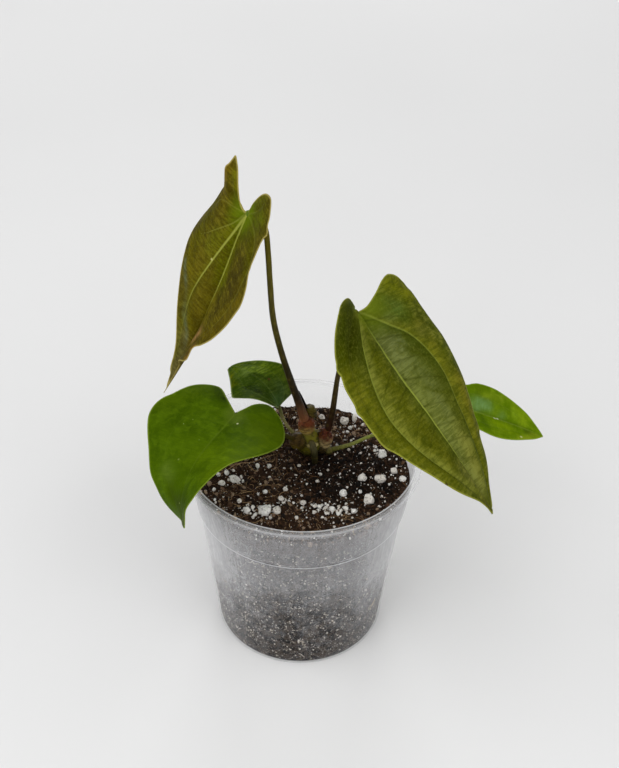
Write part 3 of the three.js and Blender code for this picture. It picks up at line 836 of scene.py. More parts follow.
def makeGrains():
    material = perliteMaterial()
    random = np.random.default_rng(31)
    corners, faces = ball(5)
    for k, (x, y, width) in enumerate(largeGrains):
        name = f"perlite_grain_{k + 1:02d}"
        bits = chunk(random, corners) * width / 1.9
        seams = lumps(bits + 40 * k, 1.7, 5)
        pores = softStep(0.35, 0.7, lumps(bits, 0.9, 8))
        bits = bits * (1 + 0.15 * seams + 0.08 * lumps(bits + 9 * k, 0.7, 6)
                       + 0.03 * lumps(bits, 0.33, 7) - 0.09 * pores)[:, None]
        bits = bits * (1, 1, 0.82)
        low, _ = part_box(name)
        bits = bits + (x, y, low[2] / mm - 0.5 - bits[:, 2].min())
        tone = np.full(len(bits), 0.6 + 0.3 * math.sin(5.1 * k))
        makePiece(f"perliteGrain{k + 1:02d}", bits, faces, material, [name], {"tone": tone})
    # the smaller ones as one mesh
    corners, faces = ball(3)
    bitsOf, facesOf, tones = [], [], []
    for k, (x, y, width) in enumerate(smallGrains):
        bits = chunk(random, corners, 9) * width / 1.8 * (1 + 0.2 * random.uniform(-1, 1, 3))
        bits = bits * (1 + 0.12 * lumps(bits + 7 * k, 0.8, 5))[:, None]
        z = mixSurface(np.array([x]), np.array([y]))[0] + 0.22 * width + 0.3
        facesOf.append(faces + len(corners) * k)
        bitsOf.append(bits + (x, y, z))
        tones.append(np.full(len(bits), random.uniform(0.35, 1)))
    makePiece("smallPerlite", np.vstack(bitsOf), np.vstack(facesOf), material,
              values={"tone": np.concatenate(tones)})
    x, y = spread(random, mix["fineGrains"])
    width = 0.4 + 1.2 * random.uniform(0, 1, len(x)) ** 4
    for heapX, heapY, wide, count in grainHeaps:
        x = np.r_[x, heapX + wide * random.normal(0, 0.5, count)]
        y = np.r_[y, heapY + 0.6 * wide * random.normal(0, 0.5, count)]
        width = np.r_[width, 0.5 + 1.3 * random.uniform(0, 1, count) ** 2.2]
    kept = np.hypot(x, y) < 53
    x, y, width = x[kept], y[kept], width[kept]
    z = mixSurface(x, y) + 0.3 * width + 0.25
    corners, faces, tone = strewn(random, np.stack([x, y, z], -1), width, 1, 0.24, 0.35)
    makePiece("finePerlite", corners, faces, material, values={"tone": tone})
    # grains that lie against the clear wall
    around = random.uniform(0, 2 * math.pi, mix["wallGrains"])
    height = 2 + 88 * random.uniform(0, 1, len(around)) ** 1.25
    width = 0.42 + 1.7 * random.uniform(0, 1, len(around)) ** 7
    radius = wallRadius(height) - pot["wall"] - 0.12 - width * 0.5
    corners, faces, tone = strewn(random, ringPoints(radius, around, height), width, 1, 0.2, 0.3)
    keepInPot(corners)
    stops = [(0.0, (70, 62, 54)), (0.5, (138, 130, 120)), (1.0, (226, 218, 208))]
    makePiece("wallPerlite", corners, faces, toneMaterial("dustyPerlite", stops, 0.9),
              values={"tone": tone})


def makeWallRoots():
    # thin pale roots that run along the inside of the clear wall
    random = np.random.default_rng(53)
    lines, radii = [], []
    for _ in range(mix["wallRoots"]):
        around = random.uniform(0, 2 * math.pi)
        height = random.uniform(6, 62)
        turn = random.uniform(-1, 1, 9).cumsum() * 0.05 + np.linspace(0, random.uniform(-0.3, 0.3), 9)
        rise = random.uniform(-1, 1, 9).cumsum() * 2.2
        z = np.clip(height + rise, 3.5, 86)
        thick = random.uniform(0.15, 0.3)
        radius = wallRadius(z) - pot["wall"] - 0.1 - thick
        lines.append(smoothLine(ringPoints(radius, around + turn, z), 34))
        radii.append(thick)
    corners, faces, tone = manyRods(random, lines, radii, 8)
    keepInPot(corners)
    stops = [(0.0, (120, 96, 70)), (0.6, (160, 142, 116)), (1.0, (196, 182, 156))]
    makePiece("wallRoots", corners, faces, toneMaterial("paleRoot", stops, 0.7, 0.1),
              values={"tone": tone})


makeMixBody()
makeCrumbs()
makeFibres()
makeGrains()
makeWallRoots()
print("mix made")


# The leaves. Angles in degrees, lengths in millimetres, as on the solids that they replace.

midribSteps = 40
bladeThickness = 0.5

defaultPrimary = [(0, 0), (0.03, 0.26), (0.12, 0.48), (0.28, 0.56), (0.48, 0.5), (0.68, 0.34),
                  (0.86, 0.16), (0.97, 0.04)]

# The margin of each half is flat: ahead of the joint, and away from the midrib. Droop, sway, twist, rise
# and curl run along the midrib. A vein has its strength and path, a mark its place, radius and colour.
# Relief is how deep the midrib, the primaries and the side veins lie, then puff, sway and frill.
leaves = {
    "tall_left": {
        "name": "tallLeft", "joint": (-25.5, 4, 238), "heading": 190, "pitch": -69, "roll": -21,
        "length": 100.5, "droop": (16, -24, -24), "sway": (-8, 7, 12), "twist": (10, 19, 8), "net": 0.62,
        "laterals": 6, "relief": (0.5, 0.35, 0.08, 0.4, 0.5, 0.1),
        "left": {"width": 31.2, "lobe": 18, "rise": (18, 19, 62), "curl": (0, -29), "lift": -2,
                 "margin": [
            (0, 0), (-3.4, 1.1), (-6.9, 2.2), (-12.8, 6.4), (-16.9, 12.3), (-18, 19.4), (-13.9, 25.3),
            (-10.7, 27.1), (-9.5, 28.4), (-8.7, 30.1), (-7.4, 31), (-5.9, 29.9), (-2.7, 28.2), (4.6, 27.7),
            (11.8, 28.1), (17.9, 32), (25, 33.4), (32, 31.5), (45.8, 26.8), (52.7, 24.4), (59, 20.8),
            (64.7, 16.3), (68.1, 22.1), (71, 20.5), (73, 17.4), (76.9, 11.2), (80.8, 5.1), (82.8, 2),
            (86, 0.8), (100.5, 0),
        ]},
        "right": {"width": 34.5, "lobe": 16.5, "rise": (27, 23, 13), "curl": (-80, 35), "lift": 0,
                  "unroll": 60,
                 "margin": [
            (0, 0), (-0.9, 3.2), (-3.1, 5.8), (-8.5, 9.3), (-14.4, 11.9), (-17.6, 13.6), (-20.1, 15.4),
            (-17.5, 16.7), (-14.8, 18), (-10.7, 20.8), (-5.6, 21.2), (-2.8, 21.5), (-0.3, 23.4),
            (2.5, 25.2), (5.7, 26.2), (11.8, 28.9), (17.4, 32.7), (23.2, 36.1), (29.8, 37), (36.1, 34.8),
            (41.7, 31.2), (53.3, 24.3), (64.9, 17.6), (76, 10.1), (82, 7), (88.3, 4.8), (91, 2.8),
            (94, 1.4), (97.2, 0.2), (100.5, 0),
        ]},
        "veins": {  # how strongly each shows, and its path
            "left": [
                (0.15, [(0, 0), (-1.1, 8.8), (0.8, 20.5), (9.8, 25.8), (25, 25), (45, 19), (70, 10),
                      (92, 3)]),
                (0.2, [(0, 0), (-6, 9), (-12, 14)]),
            ],
            "right": [
                (1.0, [(0, 0), (14.7, 3.8), (30.1, 8.8), (42.5, 12), (54, 13.5), (66, 11), (80, 6),
                      (94, 2)]),
                (0.2, [(0, 0), (1, 6.5), (3.2, 16.4), (8, 23)]),
                (0.35, [(1, 1), (6.8, 4.2), (11.5, 8.2), (21.4, 18.2), (27.5, 25.6)]),
                (0.1, [(0, 0), (-4, 10), (-11, 15)]),
            ],
        },
        "veinSideLightAndShade": [  # painted light and painted shade beside a vein: vein, side of it, width, colour, share
            ("midrib", -1, 3.5, (62, 56, 0), 0.4),
            ("midrib", 1, 3, (108, 98, 12), 0.35),
            ("right", 1, 3.5, (70, 72, 2), 0.45),
            ("right", -1, 3, (104, 104, 12), 0.4),
        ],
        "strokes": [  # path, width, colour, share
            ([(32.8, -0.8), (46.3, -0.8), (55.8, 4.4)], 6, (86, 78, 0), 0.5),
            ([(7.1, -0.8), (19.3, -0.8), (31.4, 1.5)], 7, (94, 108, 2), 0.6),
            ([(-11.9, 11), (-7.8, 20.5)], 6, (84, 92, 8), 0.75),
            ([(0.3, 15.4), (7.1, 22), (16.6, 27.1)], 4.5, (72, 72, 0), 0.7),
            ([(23.3, 28.6), (39.6, 26.4), (54.5, 19.8)], 6, (94, 80, 6), 0.65),
            ([(11.1, -25.1), (23.3, -25.9), (34.2, -25.9)], 6, (84, 84, 2), 0.6),
            ([(34.2, -26.7), (49.1, -15.4), (65.3, -6.5)], 3.2, (106, 98, 10), 0.6),
            ([(53.1, -8.9), (62.6, -0.8)], 4, (66, 56, 0), 0.6),
            ([(-13.2, -21.9), (-5.1, -20.2)], 4, (118, 100, 14), 0.8),
            ([(-13.2, -13.8), (-6.5, -8.1)], 2.2, (112, 112, 10), 0.6),
            ([(45, -27.5), (59.9, -18.6), (74.8, -8.1)], 2.5, (92, 84, 26), 0.7),
            # a painted sheen line along the folded margin
            ([(43.6, -25.9), (53.1, -17), (65.3, -9.7), (74.8, -3.2)], 1.5, (92, 104, 78), 0.75),
            ([(63.9, 7.3), (59.9, 9.5)], 3.2, (150, 114, 70), 0.75),
            ([(-17, -22), (-9.5, -23)], 4.5, (124, 98, 10), 0.8),
            ([(80.6, 0.6), (72.5, -0.6)], 3.2, (104, 78, 22), 0.85),
            ([(89.7, -2.4), (95.1, -0.8), (99.1, 0)], 3, (128, 120, 72), 0.85),
            ([(2, 9), (-3, 15)], 7, (76, 84, 10), 0.8),
            ([(36, -12), (50, -8)], 7, (104, 94, 22), 0.5),
            ([(72, -8), (80, -3)], 3, (106, 100, 58), 0.7),
            ([(-1.6, 3.7), (-4, 6)], 5, (82, 96, 8), 0.6),
            ([(18, -11), (25, -13)], 5, (106, 110, 18), 0.55),
            ([(50, -16), (55, -17)], 4, (84, 76, 12), 0.6),
            ([(40, 3), (48, 4.5)], 4, (106, 98, 20), 0.55),
            ([(33, -16.5), (38, -16.5)], 4, (96, 88, 14), 0.45),
            ([(66, 17), (69, 21)], 2.6, (134, 94, 40), 0.7),
            ([(-1.6, 3.7), (-1, 8)], 4, (74, 82, 6), 0.7),
            ([(50, -16), (58, -15)], 4, (82, 74, 22), 0.5),
            ([(84, -3), (92, -1.5), (100, 0)], 3.5, (106, 98, 68), 0.7),
        ],
        "look": {
            "deep": (54, 46, 4), "mid": (88, 80, 12), "light": (112, 102, 28), "vein": (156, 160, 70),
            "heart": (92, 112, 12), "heartReach": 14, "edge": (176, 162, 92), "rimHighlightShare": 0.75,
            "under": (112, 96, 46), "sideVein": (64, 54, 6), "veinShares": (0.7, 0.75, 0.3),
            "fade": (0.3, 0.7, 0.2), "net": 0.05, "mottle": 0.65, "rough": 0.42,
        },
        "marks": [
            (30.3, -9.4, 0.7, (176, 174, 104)),
        ],
    },
    "tall_right": {
        "name": "tallRight", "joint": (23, -12, 199), "heading": -46, "pitch": -40, "roll": -2,
        "length": 108, "droop": (-23, 20, 14), "sway": (11, 10, -1), "twist": (5, -28, -6), "net": 0.68,
        "laterals": 8, "relief": (0.6, 0.9, 0.16, 0.9, 0.4, 0.15),
        "left": {"width": 45.5, "lobe": 9, "rise": (26, 17, -8), "curl": (-77, -20), "lift": 41,
                 "margin": [
            (0, 0), (0.3, 3.6), (-0.7, 7), (-4.9, 12.8), (-10.3, 17.5), (-11.9, 20.4), (-10.6, 23.8),
            (-3.1, 36.1), (-0.1, 42.6), (6.6, 44.1), (13.7, 42.7), (20.8, 42.4), (28, 42.6), (34.8, 40.2),
            (48.5, 35.7), (55.3, 33.4), (62.1, 31), (68.8, 28.5), (75.9, 27.7), (78.5, 25.3), (81.6, 23.6),
            (88.2, 20.7), (93.6, 16), (98.3, 10.6), (103.4, 5.5), (108, 0),
        ]},
        "right": {"width": 40, "lobe": 12.5, "rise": (55, 5, 30), "curl": (-34, -26), "lift": 26,
                 "margin": [
            (0, 0), (-7.5, 12.2), (-14, 25.1), (-13.6, 31.6), (-7.3, 35), (-0.5, 37.3), (6, 40.3),
            (13, 41.5), (16.5, 41.4), (18.3, 41.7), (19.9, 41.1), (21.3, 40), (23, 39.5), (26.5, 39),
            (33.3, 36.6), (36.8, 36.5), (40, 34.8), (47, 33.1), (54.1, 32.2), (60.5, 29.1), (74.2, 24.8),
            (87.5, 19.6), (97.9, 9.7), (103.5, 5.2), (106.4, 3.1), (108, 0),
        ]},
        "veins": {  # how strongly each shows, and its path
            "left": [
                (0.7, [(0, 0), (3, 3), (12.2, 10), (21.3, 17.4), (32.9, 21.6), (43.5, 22.4), (56.6, 20),
                      (69.2, 18), (82.8, 15), (96, 9), (106, 2)]),
            ],
            "right": [
                (1.0, [(0, 0), (3.1, 9.5), (12.2, 17), (23.8, 20.7), (34.4, 22), (46, 21.6), (57.1, 20),
                      (69, 18), (84, 13), (98, 6)]),
                (0.2, [(0, 0), (-1, 12), (4.1, 22), (11.7, 29.9), (22.3, 32), (32.4, 31.5), (50, 28)]),
            ],
        },
        "veinSideLightAndShade": [  # painted light and painted shade beside a vein: vein, side of it, width, colour, share
            ("midrib", 1, 6, (118, 126, 62), 0.6),
            ("midrib", -1, 3.2, (58, 72, 0), 0.7),
            ("right", 1, 2.6, (128, 132, 52), 0.7),
            ("right", -1, 3.6, (54, 64, 0), 0.65),
            ("left", -1, 4.5, (52, 68, 6), 0.75),
            ("left", 1, 2.4, (118, 120, 28), 0.6),
        ],
        "strokes": [  # path, width, colour, share
            # painted sheen, grey-green, between the midrib and the primary
            ([(16, 5.3), (33.2, 5.3), (51.9, 4.3), (72, 3.2)], 7.5, (106, 114, 46), 0.8),
            ([(20.3, 11.7), (39, 11.7), (49, 10.7)], 4.5, (72, 82, 8), 0.75),
            ([(1.6, 8.5), (5.9, 13.9), (11.6, 20.3)], 5, (70, 86, 16), 0.7),
            ([(-5.6, 21.4), (3, 25.6)], 6, (96, 104, 8), 0.5),
            ([(18.8, 24.6), (37.5, 24.6), (57.7, 23.5), (77.8, 17.1)], 4.5, (106, 104, 20), 0.65),
            ([(-4.2, -25.3), (4.4, -33.8), (10.2, -36.6)], 5.5, (46, 54, 0), 0.9),
            ([(13.1, -37.6), (24.6, -34.7)], 4, (74, 80, 0), 0.6),
            ([(11.6, -16), (18.8, -16.9)], 4, (74, 84, 0), 0.7),
            ([(23.1, -14.1), (40.4, -12.2), (60.5, -10.3), (80.7, -9.4)], 5, (86, 88, 4), 0.6),
            ([(26, -34.7), (41.8, -30), (59.1, -23.5), (79.2, -16.9)], 6.5, (104, 104, 14), 0.65),
            ([(62, -6.6), (76.4, -4.7), (90.7, -1.9)], 4, (78, 80, 4), 0.5),
            ([(80.7, 7.5), (93.6, 6.4), (100.8, 3.2)], 4, (112, 110, 30), 0.6),
            ([(43.3, 5.3), (49, 11.7), (54.8, 18.2)], 0.9, (70, 78, 4), 0.7),
            ([(99.4, -3.8), (106.6, -0.9)], 4, (84, 74, 12), 0.85),
            ([(0.3, -26.6), (4.9, -30.6)], 8, (38, 46, 0), 0.95),
            ([(10.3, -21.6), (13.5, -25.8)], 6, (52, 58, 0), 0.85),
            # painted sheen
            ([(17.3, 3.9), (30.2, 3)], 5, (118, 126, 78), 0.7),
            ([(4.3, 15.2), (7.1, 17.8)], 4.5, (84, 102, 38), 0.7),
            # painted sheen
            ([(34, 8), (48, 9), (60, 8)], 5, (104, 112, 60), 0.5),
            ([(84, -6), (92, 3)], 5, (124, 124, 56), 0.6),
            ([(28, 16), (40, 17.5)], 3, (70, 76, 20), 0.7),
            ([(-8, 20), (-4, 28), (6, 36)], 4.5, (112, 116, 16), 0.6),
            ([(72, 8.6), (82, 6.5), (92, 3.5)], 5, (132, 132, 56), 0.7),
            ([(5, -26.5), (15, -30)], 6, (44, 50, 0), 0.6),
            ([(16.8, -35.4)], 5, (62, 68, 0), 0.6),
            # painted sheen, this stroke and the next
            ([(19.7, 8), (24, 8.5)], 4, (112, 120, 76), 0.5),
            ([(9.6, 9.4)], 3, (92, 108, 62), 0.5),
            ([(21.9, 24)], 4, (112, 114, 50), 0.5),
            ([(44, 16), (56, 13.5)], 3, (74, 80, 18), 0.6),
            ([(-1, 28), (3, 30)], 4.5, (112, 114, 14), 0.5),
            ([(50, 30), (63, 25.5)], 4, (118, 112, 26), 0.55),
            ([(33, -23.6), (46, -23), (60, -21)], 4, (108, 108, 18), 0.6),
            ([(44.5, 4.1), (50, 10.5), (55.4, 19.5)], 0.8, (66, 74, 6), 0.65),
            ([(22.8, 8.7), (28.4, 11.9), (33, 16.4)], 0.8, (66, 74, 6), 0.6),
            ([(20.1, -23.7), (26.4, -19.7)], 0.8, (56, 62, 2), 0.6),
            ([(7.3, -27.4)], 7, (38, 42, 0), 0.6),
            ([(46.1, 16.3)], 4, (66, 72, 14), 0.6),
            ([(80, -1.5), (88, 1)], 3, (130, 132, 60), 0.5),
        ],
        "look": {
            "deep": (58, 66, 6), "mid": (90, 96, 16), "light": (124, 126, 48), "vein": (152, 162, 66),
            "heart": (104, 120, 20), "heartReach": 20, "edge": (150, 152, 60), "rimHighlightShare": 0.75,
            "under": (108, 118, 60), "sideVein": (52, 58, 8), "veinShares": (0.8, 0.5, 0.4),
            "fade": (0.5, 1.0, 0.5), "net": 0.05, "mottle": 0.7, "rough": 0.45,
        },
        "marks": [
            (28.8, 41.6, 0.7, (40, 34, 10)), (81.3, -22, 0.8, (60, 52, 20)),
        ],
    },
    "front_left": {
        "name": "frontLeft", "joint": (-32, -8, 137.5), "heading": 243, "pitch": -9, "roll": 25,
        "length": 66.5, "droop": (-42, 67, 160), "sway": (-8, -10, 3), "twist": (8, 25, 24), "net": 0.6,
        "laterals": 6, "relief": (0.2, 0.08, 0.03, 0.1, 0.3, 0.12),
        "left": {"width": 30.2, "lobe": 11, "rise": (-11, 0, 18), "curl": (-42, -14), "lift": -13,
                 "margin": [
            (0, 0), (-4.1, 2.8), (-8.6, 5.1), (-11.6, 9), (-11.9, 13.9), (-6.6, 22.3), (1.5, 28.1),
            (6.1, 30), (11.1, 30.2), (20.9, 28.4), (30.2, 24.6), (34.6, 22.4), (46.7, 19), (51, 16.5),
            (55, 13.6), (58.1, 9.6), (60.1, 8.3), (62.6, 8.1), (64.7, 7), (66.2, 5), (66.5, 0),
        ]},
        "right": {"width": 39.8, "lobe": 11.5, "rise": (21, 20, -25), "curl": (4, 2), "lift": -15,
                 "margin": [
            (0, 0), (-7, 9), (-12.6, 18.8), (-8.4, 29.3), (0.7, 36), (5.6, 38.9), (11.2, 40.2),
            (16.8, 39.7), (22, 37.2), (31.4, 30.7), (36.5, 28.2), (42, 26.6), (47, 23.8), (52.2, 21.5),
            (56.8, 18.1), (60.1, 13.5), (62, 8.1), (63.1, 2.5), (63.4, 1.1), (64.2, 1.6), (65, 4.3),
            (65.4, 4.2), (65.8, 2.8), (66.5, 0),
        ]},
        "strokes": [  # path, width, colour, share
            ([(9.2, -35.5), (-1.5, -29.9), (-7.4, -22.4)], 6, (74, 94, 8), 0.5),
            # painted sheen low on the blade
            ([(39.2, -16.3), (43.2, -11.1)], 4, (86, 106, 34), 0.5),
            ([(51.9, -6.5), (53.8, 1.1), (56, 5)], 6, (44, 62, 2), 0.75),
            ([(42, 16), (28, 24), (6.5, 26)], 6, (88, 110, 6), 0.6),
            ([(-0.6, 14.3), (8.3, 20)], 7, (78, 100, 4), 0.6),
            ([(1.4, 17), (3.3, 25.5)], 6, (74, 94, 6), 0.5),
            # painted shade in a fold
            ([(-7.4, -10.3)], 2.4, (20, 32, 0), 0.9),
            ([(4.3, 4.3)], 4, (92, 110, 40), 0.5),
            # a painted highlight at the tip
            ([(62.6, 5), (65.5, 0.7)], 3, (96, 100, 62), 0.8),
            ([(30, 4), (24, 18)], 8, (88, 112, 6), 0.65),
            ([(34, -4), (26, -14)], 7, (72, 96, 4), 0.4),
            ([(60.5, 2.4)], 3.5, (66, 82, 22), 0.6),
            ([(42, -5), (47, -5)], 4, (66, 90, 4), 0.5),
            ([(22.5, -26.3)], 5, (62, 86, 2), 0.45),
            ([(32, 17.5)], 4, (96, 120, 10), 0.5),
            ([(66, 3), (60, 3), (56, -2)], 4, (54, 68, 20), 0.7),
            ([(55, -4), (50, -10)], 4, (50, 66, 0), 0.5),
            ([(44, -5)], 5, (58, 80, 0), 0.4),
            ([(-8.3, -13.3), (-11.2, -19.4)], 3.4, (36, 52, 0), 0.75),
        ],
        "look": {
            "deep": (52, 74, 2), "mid": (67, 91, 4), "light": (82, 108, 10), "vein": (88, 108, 28),
            "heart": (84, 104, 26), "heartReach": 8, "edge": (130, 148, 52), "rimHighlightShare": 0.7,
            "under": (96, 118, 50), "veinShares": (0.4, 0.1, 0.05), "fade": (0.3, 0.9, 0.5), "net": 0.04,
            "mottle": 0.3, "rough": 0.38,
        },
        "marks": [
            (6.8, 5.6, 0.55, (206, 210, 160)), (12, -16.8, 0.4, (110, 130, 50)),
            (16.2, -19.4, 0.35, (120, 140, 70)), (22.4, -6, 0.35, (110, 130, 60)),
            (34.8, -10.1, 0.6, (104, 120, 50)), (55.1, -1.5, 0.4, (150, 160, 100)),
        ],
    },
    "back_left": {
        "name": "backLeft", "joint": (-12, 28, 113), "heading": 126, "pitch": 59, "roll": 20, "length": 40,
        "droop": (141, 49, 128), "sway": (-7, -7, -7), "twist": (0, 2, 2), "net": 0.42, "laterals": 5,
        "relief": (0.35, 0.25, 0.12, 0.3, 0.25, 0.15),
        "left": {"width": 19.5, "lobe": 2, "rise": (40, -22, -22), "curl": (7, -5), "lift": 0,
                 "margin": [
            (0, 0), (0.9, 5.2), (1.9, 10.4), (3.4, 15.4), (5.3, 17.3), (7.5, 18.6), (9.7, 20.1),
            (11.9, 21.5), (17, 20.6), (21.3, 17.5), (25.5, 14.3), (29.6, 11.1), (33.8, 7.9), (37.9, 4.5),
            (39.7, 2.6), (40, 0),
        ]},
        "right": {"width": 19.5, "lobe": 2, "rise": (-17, 6, 6), "curl": (-10, 31), "lift": 0,
                 "margin": [
            (0, 0), (0.9, 5.4), (1.5, 10.9), (2, 16.4), (2.6, 19.1), (4.8, 20.4), (10.2, 21.2),
            (15.6, 20.3), (18.2, 19.4), (20.5, 18), (24.7, 14.4), (29, 10.9), (33.2, 7.4), (37.8, 4.4),
            (39.8, 2.7), (40, 0),
        ]},
        "strokes": [  # path, width, colour, share
            ([(26.7, 0.9), (25.5, 4)], 3.4, (104, 124, 56), 0.8),
            ([(26.2, -6.8), (24.7, -9)], 3, (108, 128, 30), 0.75),
            ([(20.4, -9.8), (17.6, -12.5)], 3, (92, 112, 20), 0.7),
            ([(31.9, 8.7), (28, 14), (26.9, 10.2)], 2.8, (98, 102, 2), 0.85),
            ([(32.7, 3.3), (34, 0)], 2.2, (92, 108, 16), 0.75),
            ([(17, 8.3), (12.8, 8)], 3.4, (16, 28, 0), 0.95),
            ([(25.2, 6.2), (20.8, 0.3)], 2.4, (40, 58, 2), 0.75),
            ([(20.8, 0.3), (16.2, -4.3)], 1.8, (36, 50, 4), 0.75),
            ([(17.4, 14.4), (9.4, 15), (4.2, 14.6)], 2.4, (44, 60, 6), 0.7),
            ([(8.5, -8.5), (5.3, -0.6)], 4.5, (74, 96, 50), 0.8),
            ([(15.4, 1.2), (11, -3)], 3, (60, 78, 22), 0.6),
            ([(7.5, -14.8), (13, -16)], 3, (88, 100, 28), 0.6),
            ([(38.7, 0.9), (34.6, -5.5), (29.9, -9.2)], 1.1, (120, 134, 60), 0.35),
            ([(28.2, 4.7)], 2.2, (80, 100, 28), 0.6),
            ([(25.1, -3.4)], 2.4, (98, 120, 40), 0.65),
            ([(6.1, -11)], 2.6, (92, 112, 46), 0.6),
            ([(17, 8.4)], 2.4, (12, 22, 0), 0.8),
            ([(28.2, 4.7)], 2.6, (66, 84, 14), 0.7),
            ([(25.1, -3.4)], 2.4, (104, 126, 34), 0.6),
            ([(17, 8.4)], 2.4, (8, 16, 0), 0.8),
            ([(27, -2), (22, -5)], 2.8, (116, 138, 40), 0.7),
        ],
        "look": {
            "deep": (42, 62, 6), "mid": (70, 92, 16), "light": (92, 110, 28), "vein": (110, 130, 70),
            "heart": (66, 96, 44), "heartReach": 10, "edge": (132, 146, 84), "rimHighlightShare": 0.7,
            "under": (100, 120, 66), "veinShares": (0.35, 0.3, 0.06), "fade": (0.1, 0.5, 0.2), "net": 0.05,
            "mottle": 0.9, "rough": 0.36,
        },
        "marks": [
            (15.9, -4.4, 0.9, (84, 62, 30)),
        ],
    },
    "right_back": {
        "name": "rightBack", "joint": (70, 20, 125.5), "heading": -4, "pitch": -18, "roll": 5, "length": 57,
        "droop": (0, 10, 23), "sway": (2, 4, 1), "twist": (2, 4, 1), "net": 0.46, "laterals": 5,
        "relief": (0.35, 0.2, 0.08, 0.25, 0.25, 0.15),
        "left": {"width": 17.3, "lobe": 9, "rise": (6, 24, 21), "curl": (-11, -10), "lift": 10,
                 "margin": [
            (0, 0), (-3.2, 1.6), (-5.9, 4), (-8.3, 6.7), (-8.5, 10.1), (-2.7, 14.1), (4.3, 15.5),
            (11.5, 15.1), (14.8, 16.6), (18.2, 17.5), (25.4, 16.6), (32.2, 14.4), (39, 11.8), (45.5, 8.7),
            (51.4, 4.5), (57, 0),
        ]},
        "right": {"width": 17, "lobe": 9, "rise": (23, 13, 6), "curl": (-5, -12), "lift": 10,
                 "margin": [
            (0, 0), (-3.2, 1.5), (-5.8, 4.1), (-8, 7), (-9, 10.3), (-6.3, 12.7), (-2.9, 13.7), (4.2, 15.3),
            (11.3, 16.6), (18.5, 17.1), (25.7, 17.1), (32.6, 15.2), (39.2, 12.1), (45.4, 8.5), (51.6, 4.7),
            (57, 0),
        ]},
        "veinSideLightAndShade": [  # painted light and painted shade beside a vein: vein, side of it, width, colour, share
            ("midrib", -1, 1.2, (128, 152, 44), 0.7),
            ("midrib", 1, 1.1, (60, 86, 10), 0.4),
        ],
        "strokes": [  # path, width, colour, share
            ([(22, 11.7), (29, 12)], 3, (126, 146, 30), 0.7),
            ([(38.6, 9.3), (45, 4.8)], 3.4, (128, 152, 16), 0.65),
            ([(17.8, 14.6), (17, 10.4)], 2.6, (78, 100, 6), 0.75),
            ([(32.7, 10.6)], 2.6, (88, 116, 4), 0.6),
            ([(29.1, -5.1), (35, -6)], 3.4, (124, 150, 8), 0.7),
            ([(21.2, -9.9), (20, -5)], 2.8, (60, 86, 10), 0.75),
            # painted highlights, this stroke and the next
            ([(19.5, 4.4), (22, 4.6)], 3.1, (104, 142, 92), 0.9),
            ([(31.1, 2.2)], 2, (96, 128, 56), 0.7),
            ([(46, -1.6), (49.5, -1.8)], 1.8, (48, 70, 2), 0.8),
            ([(41.4, -9.2), (51.8, -2.4)], 1.6, (136, 150, 30), 0.6),
            # painted highlight, this stroke and the next
            ([(14, 3), (17, 5)], 3, (120, 156, 84), 0.6),
            ([(19.5, 1.4), (19.6, 4), (22, 5.4)], 2.6, (102, 136, 70), 0.75),
            ([(39, 5.4)], 2.6, (120, 146, 20), 0.6),
            ([(21.7, 11.2)], 2.4, (120, 142, 24), 0.5),
            ([(36.3, -6)], 2.4, (98, 124, 4), 0.5),
            ([(39, 5.4)], 2.4, (136, 164, 30), 0.6),
            # painted highlight
            ([(19.5, 1.6), (22, 4)], 2.2, (116, 152, 84), 0.7),
        ],
        "look": {
            "deep": (80, 108, 2), "mid": (98, 126, 6), "light": (120, 146, 22), "vein": (112, 130, 50),
            "heart": (92, 120, 20), "heartReach": 8, "edge": (140, 160, 50), "rimHighlightShare": 0.6,
            "under": (110, 134, 60), "veinShares": (0.3, 0.12, 0.06), "fade": (0.5, 1.0, 0.5), "net": 0.04,
            "mottle": 0.4, "rough": 0.3,
        },
        "marks": [
            (28.2, -0.7, 0.9, (206, 208, 176)), (29.8, -0.4, 0.8, (206, 208, 176)),
            (42.4, -8.3, 0.8, (186, 190, 120)),
        ],
    },
}


def midribStations(leaf):
    # walks down the midrib: points and the axes ahead, left and up at each step
    steps = midribSteps
    heading, pitch = math.radians(leaf["heading"]), math.radians(leaf["pitch"])
    level = math.cos(pitch)
    ahead = Vector((level * math.cos(heading), level * math.sin(heading), math.sin(pitch)))
    left = Vector((-math.sin(heading), math.cos(heading), 0))
    up = ahead.cross(left)
    tilt = Matrix.Rotation(math.radians(leaf["roll"]), 3, ahead)
    left, up = tilt @ left, tilt @ up
    point = Vector(leaf["joint"])
    stations = [(point.copy(), ahead.copy(), left.copy(), up.copy())]
    for k in range(steps):
        share = (k + 0.5) / steps
        twist, sway, droop = (math.radians(between(leaf[turn], share)) / steps
                              for turn in ("twist", "sway", "droop"))
        turn = (Matrix.Rotation(droop, 3, left) @ Matrix.Rotation(sway, 3, up)
                @ Matrix.Rotation(twist, 3, ahead))
        nextAhead = turn @ ahead
        stride = ahead + nextAhead
        point = point + stride * (leaf["length"] / steps / stride.length)
        ahead, left, up = nextAhead, turn @ left, turn @ up
        stations.append((point.copy(), ahead.copy(), left.copy(), up.copy()))
    return [np.array([station[k][:] for station in stations]) for k in range(4)]


def margin(half, count):
    # the margin of one half, flat: x ahead of the joint, y away from the midrib
    points = np.array([half["margin"][0], *half["margin"], half["margin"][-1]], float)
    spans = len(points) - 3
    place = np.linspace(0, spans, 12 * spans + 1)
    first = np.minimum(place.astype(int), spans - 1)
    t = (place - first)[:, None]
    edge = evenSteps(curve([points[first + k] for k in range(4)], t), count + 1)
    edge[:, 1] = np.maximum(edge[:, 1], 0.12 * np.sin(np.linspace(0, math.pi, count + 1)))
    return edge


